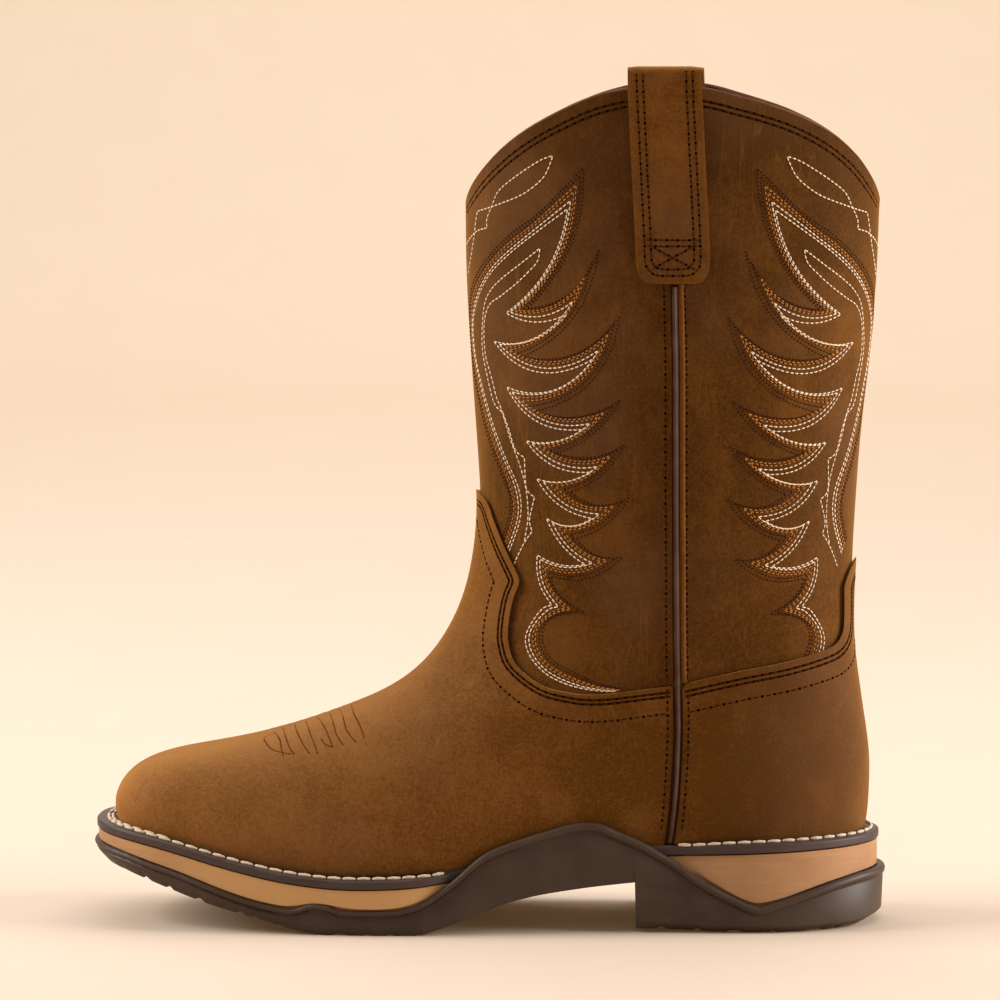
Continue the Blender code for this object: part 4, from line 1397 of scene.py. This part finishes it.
def bowed(start, end, bow, steps=14):
    """A line from start to end that bows out to one side by a share of its length."""
    start, end = np.array(start), np.array(end)
    run = end - start
    middle = (start + end) / 2 + np.array((-run[1], run[0])) * bow * 2
    return [start * (1 - t) ** 2 + middle * 2 * t * (1 - t) + end * t * t
            for t in np.linspace(0, 1, steps)]


def flame(spine, tines, scroll, curl):
    """The stretches of one whole row, each between two sharp turns."""
    stretches = [through(spine, LINE_STEPS)]
    for k, tine in enumerate(tines):
        cusp = (tine.cusp_ahead, tine.cusp_up)
        stretches.append(bowed((tine.tip_ahead, tine.tip_up), cusp, tine.low_bow))
        if k + 1 < len(tines):
            stretches.append(bowed(cusp, (tines[k + 1].tip_ahead, tines[k + 1].tip_up), tine.next_bow))
    return stretches + [through(scroll, LINE_STEPS), through(curl, LINE_STEPS)]


first_row = flame(FIRST_SPINE, FIRST_TINES, FIRST_SCROLL, FIRST_CURL)
last_row = flame(LAST_SPINE, LAST_TINES, LAST_SCROLL, LAST_CURL)
print("flame stretches:", len(first_row))

# %% [markdown]
# The rows are sewn on the front panel and, mirrored, on the back panel. The back panel's leather was
# cut a little further back and lower than a true mirror image, which a short table gives.

# %% Sew the flame
Back = namedtuple("Back", "up shift drop")
BACK_PANEL = (
    Back(95, 1.5, 0.9), Back(110, 2.2, 0.9), Back(130, 3.2, 0.9), Back(150, 3.5, 0.9),
    Back(200, 3.2, 0.1), Back(230, 3.0, 0.3), Back(260, 2.0, 0.2), Back(285, 0.7, 0.1),
)
ROW_SHARES = (0.0, 0.20, 0.42, 0.58, 0.80, 1.0)
ROW_POINTS, POINT_SPACING = 8, 0.9
cream = thread("ivory_stitches", cream_thread, 1.9, 0.78, 0.54, 0.46)
# The rust rows lie on a strip of painted shade.
rust = thread("rust_stitches", rust_thread, 1.8, 0.72, 0.46, 0.44, 0.40)
cocoa = thread("cocoa_stitches", cocoa_thread, 1.4, 0.58, 0.60, 0.38)
ROW_THREADS = (cream, cream, rust, rust, cocoa, cocoa)


def even_points(line, count):
    """The same line as evenly spaced points."""
    line = np.array(line)
    travelled = travelled_along(line)
    even = np.linspace(0, travelled[-1], count)
    return np.stack([np.interp(even, travelled, line[:, k]) for k in range(2)], axis=1)


def back_panel(column, up):
    """How far the back panel's rows lie behind, or below, the mirror image of the front panel's."""
    return from_table(BACK_PANEL, column, up, along="up")


def sew_on_panels(line, spool):
    """Sew a flat line on the front and back panels of both sides."""
    for side in (OUTER, INNER):
        sew([on_shaft(ahead, up, side) for ahead, up in line], spool)
        sew([on_shaft(-ahead - back_panel("shift", up), up - back_panel("drop", up), side)
             for ahead, up in line], spool)


for share, spool in zip(ROW_SHARES, ROW_THREADS):
    for first, last in zip(first_row, last_row):
        count = max(ROW_POINTS, int(travelled_along(first)[-1] / POINT_SPACING))
        sew_on_panels(even_points(first, count) * (1 - share) + even_points(last, count) * share, spool)
print("flame stitches:", sum(len(start) for start, _, _ in cream.places), "of the pale thread")

# %% [markdown]
# Two single cream lines go with the flame: a leaf above it, and a loop inside it whose ends twist
# down the front to the vamp.

# %% Leaf and loop
LEAF = (
    ((86.5, 246.6), (81.3, 249.5), (75.9, 252.0), (70.5, 253.1)),
    ((70.5, 253.1), (70.6, 256.4), (67.9, 261.1), (65.3, 265.8), (60.0, 269.9), (47.6, 277.3),
     (42.0, 279.3)),
    ((42.0, 279.3), (43.1, 276.3), (45.3, 272.0), (49.9, 268.0), (56.0, 264.6), (67.9, 260.8),
     (76.1, 259.0)),
    ((76.1, 259.0), (77.4, 254.9), (78.6, 249.5), (81.1, 242.8), (84.8, 235.9)),
)
LOOP = (
    ((47.2, 246.2), (51.9, 242.8), (56.8, 239.4), (63.2, 235.2), (68.5, 231.1), (72.5, 225.6),
     (74.5, 216.0), (74.7, 208.1), (71.7, 196.8), (68.9, 189.4), (64.9, 186.7)),
    ((64.9, 186.7), (62.1, 180.4), (59.4, 173.0), (55.6, 170.6)),
    ((55.6, 170.6), (55.4, 160.6), (54.1, 157.8), (51.8, 156.4)),
    ((51.8, 156.4), (53.6, 150.0), (54.0, 147.0), (52.8, 143.9)),
    ((52.8, 143.9), (56.5, 139.1), (60.7, 131.3)),
    ((47.2, 246.2), (48.2, 241.5), (52.9, 236.8), (57.9, 232.7), (64.4, 228.5), (69.8, 225.4),
     (73.0, 219.0), (73.2, 208.0), (70.0, 199.0), (67.6, 191.5), (65.4, 187.6), (61.6, 177.0),
     (57.4, 167.0), (55.2, 158.5), (54.6, 149.0), (56.2, 140.0)),
)
for line in LEAF + LOOP:
    sew_on_panels(through(line, LINE_STEPS), cream)
print("leaf and loop lines:", len(LEAF + LOOP))

# %% [markdown]
# ## Toe stitching
# Across the vamp's top lies a small fan of wavy rows, sewn in the dark thread. Each row starts near
# the ridge and slants back as it goes down the side. Its pressed crease is a strip of painted shade,
# and near the ridge only that crease shows.

# %% Toe rows
TOE_LINES = (
    ((-176.5, -8.0), (-180.4, -12.4), (-179.4, -18.6), (-177.6, -23.4), (-175.0, -26.4), (-169.4, -29.6)),
    ((-177.4, -7.5), (-174.2, -19.3), (-173.1, -25.5), (-172.0, -29.5)),
    ((-174.4, -4.0), (-172.4, -16.7), (-170.3, -25.4), (-168.0, -30.1)),
    ((-170.0, -4.0), (-168.2, -15.7), (-165.5, -25.2), (-162.4, -31.2)),
    ((-166.0, -4.0), (-165.2, -8.5), (-162.8, -21.3), (-159.3, -32.1)),
    ((-161.8, -4.0), (-158.8, -16.0), (-156.2, -24.6), (-153.9, -31.0)),
    ((-158.6, -26.0), (-156.6, -29.4), (-153.9, -31.0)),
    ((-157.2, -4.0), (-154.4, -19.5), (-152.8, -26.3), (-150.1, -31.4)),
    ((-153.4, -4.0), (-150.1, -22.1), (-148.2, -27.7), (-145.3, -31.8)),
    ((-149.1, -4.0), (-147.2, -16.9), (-144.7, -24.5), (-142.4, -31.1)),
)
TOE_CREASE = 0.55
TOE_SEWN_FROM = 15.0
toe_thread = thread("toe_stitches", dark_thread, 1.35, 0.52, 0.62, 0.30)


def on_vamp_top(x, y):
    """A place on top of the vamp, seen from above."""
    spot, _, _, _ = SKIN.ray_cast(Vector((x * MM, y * MM, OUTSIDE)), Vector((0, 0, -1)))
    return on_skin(spot, OVERLAY_TOP)


for side in (OUTER, INNER):
    for line in TOE_LINES:
        row = [on_vamp_top(x, -side * y) for x, y in through(line, LINE_STEPS)]
        # The crease is a strip of painted shade.
        crease_shade_strips.append(strip_along(row, TOE_CREASE, GROOVE_HIGH))
        sewn = [(place, normal) for place, normal in row if abs(place.y) > TOE_SEWN_FROM * MM]
        sew(sewn, toe_thread)
print("toe rows:", len(toe_thread.places))

# %% [markdown]
# ## Strap stitching
# Each strap is sewn down along its sides with two rows that run round its foot, and a crossed box
# holds the foot to the shaft.

# %% Strap rows
STRAP_FOOT = 233.9
STRAP_HALF = 12.9
STRAP_TOP = 309.6
STRAP_ROWS = (2.9, 5.2)
STRAP_BENDS = (5.2, 3.8)
STRAP_STEPS = 48
BOX_LOW, BOX_HIGH, BOX_TOP = 5.2, 13.4, 15.6
strap_thread = thread("strap_stitches", dark_thread, 3.7, 0.55, 0.70, 0.42)
strap_hole_shade = needle_holes._replace(pitch=3.7, share=0.34)
STRAP_TREES = {side: tree_of(bpy.data.objects[name])
               for side, name in ((OUTER, "strap_outer"), (INNER, "strap_inner"))}


def on_strap(across, height, side):
    """The place and normal on a strap, or nothing where the strap is not."""
    x = seam_x(height) + across + np.interp(height, STRAP_LEAN_Z, STRAP_LEAN_X)
    spot, normal, _, _ = STRAP_TREES[side].ray_cast(
        Vector((x * MM, side * OUTSIDE, height * MM)), Vector((0, -side, 0)))
    return spot, normal


def sew_on_strap(corners, side):
    """Sew straight stretches from corner to corner on one strap."""
    line = []
    for (x0, z0), (x1, z1) in zip(corners, corners[1:]):
        line += [on_strap(x0 + (x1 - x0) * t, z0 + (z1 - z0) * t, side)
                 for t in np.linspace(0, 1, STRAP_STEPS)]
    row = [(place, normal) for place, normal in line if place is not None]
    sew_with_holes(row, strap_thread, strap_hole_shade)


def round_the_foot(half, foot, bend):
    """Corners of a row down one side, round the foot and up the other side."""
    turns = np.linspace(0, math.pi / 2, 5)
    left = [(bend - half - bend * math.cos(t), foot + bend - bend * math.sin(t)) for t in turns]
    right = [(-across, height) for across, height in reversed(left)]
    return [(-half, STRAP_TOP)] + left + right + [(half, STRAP_TOP)]


for side in (OUTER, INNER):
    for inset, bend in zip(STRAP_ROWS, STRAP_BENDS):
        sew_on_strap(round_the_foot(STRAP_HALF - inset, STRAP_FOOT + inset, bend), side)
    inside, wide = STRAP_HALF - STRAP_ROWS[1], STRAP_HALF - STRAP_ROWS[0]
    low, high = STRAP_FOOT + BOX_LOW, STRAP_FOOT + BOX_HIGH
    for bar in (BOX_HIGH, BOX_TOP):
        sew_on_strap([(-wide, STRAP_FOOT + bar), (wide, STRAP_FOOT + bar)], side)
    sew_on_strap([(-inside, low), (inside, high)], side)
    sew_on_strap([(-inside, high), (inside, low)], side)
print("strap rows:", len(strap_thread.places))

# %% [markdown]
# ## Welt stitching
# Heavy cream thread holds the upper to the welt, in two rows round the toe, one along the forefoot
# and one round the heel. The rows follow the upper's lower edge, a few millimetres out, where the
# outsole's wing is not.

# %% Welt rows
WeltRow = namedtuple("WeltRow", "distance x0 x1")
WELT_ROWS = (WeltRow(3.3, -300, -212), WeltRow(4.8, -300, -110), WeltRow(3.8, -34, 100))
welt_spool = thread("welt_stitches", welt_thread, 5.4, 0.93, 1.55, 1.42)
WELT = tree_of(welt)
WELT_REACHES = (1.0, 0.75, 0.55)
WELT_OVER = 20.0
WELT_UPWARD = 0.6


def on_welt(place, out, distance):
    """A place on the welt's top, nearer to the upper where the welt is narrow."""
    for share in WELT_REACHES:
        above = place + out * distance * share * MM + Vector((0, 0, WELT_OVER * MM))
        spot, normal, _, _ = WELT.ray_cast(above, Vector((0, 0, -1)))
        if spot is not None and normal.z > WELT_UPWARD:
            return spot, normal
    return None


def sew_welt(welt_row):
    """Sew one row round the welt, in stretches between the places where it is hidden."""
    line = feather_line()
    row = []
    for k, place in enumerate(line):
        ahead = line[(k + 1) % len(line)] - line[k - 1]
        out = Vector((ahead.y, -ahead.x, 0)).normalized()
        seen = welt_row.x0 < place.x / MM < welt_row.x1
        spot = on_welt(place, out, welt_row.distance) if seen else None
        if spot is None:
            sew(row, welt_spool)
            row = []
        else:
            row.append(spot)
    sew(row, welt_spool)


for welt_row in WELT_ROWS:
    sew_welt(welt_row)
print("welt stretches:", len(welt_spool.places))

# %% [markdown]
# ## Joining the thread
# All rows are noted now. Each thread becomes one piece, and so do the painted-shade strips of the
# grooves and the creases, and the ridges. The outer skin was only a guide, so it is taken away.

# %% Join the stitches
bpy.data.objects.remove(skin)
for spool in (cream, rust, cocoa, seam_thread, toe_thread, strap_thread, needle_holes):
    spool_mesh(spool, FINE, "upper_leather")
spool_mesh(welt_spool, STOUT, "welt_rubber")
# The groove and crease strips are painted shade; the ridges are painted light.
strip_mesh("stitch_grooves", groove_shade_strips, 2, groove_painted_shade, "upper_leather")
strip_mesh("toe_creases", crease_shade_strips, 2, crease_painted_shade, "upper_leather")
strip_mesh("seam_ridges", ridges, 5, ridge_painted_light, "upper_leather")

# %% [markdown]
# ## Floor, light and camera
# The boot stands on a pale peach sweep that turns up into the backdrop with no line. The paper
# carries painted light: it glows a little, more towards the back, which lifts the shadows and keeps
# the backdrop even. Wide soft lights stand at the left and the right, so that the boot's front and
# back edges are brighter than its middle. One above lights the floor, and one far back lights the
# backdrop.

# %% Floor and backdrop
SWEEP_WIDE, SWEEP_FRONT, SWEEP_BACK = 12.0, 3.0, 3.0
SWEEP_BEND, SWEEP_STEPS, SWEEP_TALL = 0.9, 24, 4.0
PAPER_DARK, PAPER_LIGHT = (0.556, 0.450, 0.364), (0.566, 0.460, 0.374)
# Painted light: the paper glows, warm and faint near the boot, brighter far back.
PAPER_PAINTED_LIGHT = 0.13
PAINTED_LIGHT_NEAR, PAINTED_LIGHT_FAR = (0.46, 0.25, 0.09), (1.80, 1.36, 0.80)
PAINTED_LIGHT_FROM, PAINTED_LIGHT_TO = 0.9, 3.4


def peach_paper():
    """Matt paper with a faint fibre, and painted light: it glows a little, more towards the back."""
    material, wire, shader = start_material("peach_paper", Specular_IOR_Level=0.1, Roughness=0.9,
                                            Emission_Strength=PAPER_PAINTED_LIGHT)
    place = object_place(wire)
    fibre = between(noise(place, 14.0, 3.0), 0.3, 0.7)
    # How far back the paper lies, for its painted light.
    away = between(coordinate(place, "Y"), PAINTED_LIGHT_FROM, PAINTED_LIGHT_TO)
    connect(shader, Base_Color=tint(fibre, PAPER_DARK, PAPER_LIGHT),
            Emission_Color=tint(away, PAINTED_LIGHT_NEAR, PAINTED_LIGHT_FAR))
    return material


def sweep(material):
    """A sheet that lies as the floor and bends up into the backdrop."""
    bpy.ops.object.select_all(action="DESELECT")
    bpy.ops.mesh.primitive_plane_add(size=1.0)
    floor = bpy.context.active_object
    floor.name = "floor_sweep"
    floor.scale = (SWEEP_WIDE, SWEEP_FRONT + SWEEP_BACK, 1.0)
    floor.location = (0.0, (SWEEP_BACK - SWEEP_FRONT) / 2, 0.0)
    bpy.ops.object.transform_apply(location=True, scale=True)
    with editing(floor, "DESELECT", "EDGE"):
        shape = bmesh.from_edit_mesh(floor.data)
        for edge in shape.edges:
            edge.select = all(v.co.y > SWEEP_BACK - 10 * MM for v in edge.verts)
        bmesh.update_edit_mesh(floor.data)
        bpy.ops.mesh.spin(steps=SWEEP_STEPS, angle=-math.pi / 2,
                          center=(0, SWEEP_BACK, SWEEP_BEND), axis=(1, 0, 0))
        bpy.ops.mesh.extrude_region_move(TRANSFORM_OT_translate={"value": (0, 0, SWEEP_TALL)})
    bpy.ops.object.shade_smooth()
    floor.data.materials.append(material)
    return floor


floor = sweep(peach_paper())
print("sweep:", [round(v, 2) for v in floor.dimensions])

# %% Lights
Lamp = namedtuple("Lamp", "name place target size power colour")
WHITE, TOP_WHITE = (1.0, 0.98, 0.95), (1.0, 0.98, 0.96)
LAMPS = (
    Lamp("left", (-1.85, -0.14, 1.30), (-0.1, 0, 0.14), (1.2, 1.2), 52.5, WHITE),
    Lamp("right", (1.4, -0.05, 0.55), (-0.05, 0, 0.16), (0.9, 0.9), 34.0, WHITE),
    Lamp("top", (-0.1, 0.75, 1.9), (-0.1, 0.75, 0.0), (2.4, 1.6), 28.0, TOP_WHITE),
    Lamp("back", (-0.1, 2.7, 2.0), (-0.1, 2.9, 0.0), (3.0, 1.6), 36.0, TOP_WHITE),
)
WORLD_COLOUR, WORLD_STRENGTH = (1.0, 0.97, 0.93, 1.0), 0.32


def stand(name, data, place, target):
    """Put a light or a camera at a place, turned towards its target."""
    holder = new_piece(name, data)
    holder.location = place
    holder.rotation_euler = (Vector(target) - Vector(place)).to_track_quat("-Z", "Y").to_euler()
    return holder


for lamp in LAMPS:
    light = bpy.data.lights.new(lamp.name, "AREA")
    light.shape = "RECTANGLE"
    light.size, light.size_y = lamp.size
    light.energy = lamp.power
    light.color = lamp.colour
    stand(lamp.name, light, lamp.place, lamp.target)
world = bpy.data.worlds.new("studio")
bpy.context.scene.world = world
world.use_nodes = True
background = world.node_tree.nodes["Background"]
background.inputs["Color"].default_value = WORLD_COLOUR
background.inputs["Strength"].default_value = WORLD_STRENGTH
bpy.context.scene.view_settings.view_transform = "Standard"
print("lights:", ", ".join(lamp.name for lamp in LAMPS))

# %% Camera
CAMERA_PLACE = (0.0, -1.900, 0.308)
CAMERA_TARGET = (-0.0952, 0.0, 0.15307)
CAMERA_LENS, CAMERA_SENSOR = 187.74, 36.0
camera = stand("camera", bpy.data.cameras.new("camera"), CAMERA_PLACE, CAMERA_TARGET)
camera.data.lens = CAMERA_LENS
camera.data.sensor_width = CAMERA_SENSOR
bpy.context.scene.camera = camera
print("camera:", CAMERA_PLACE, "lens", CAMERA_LENS)
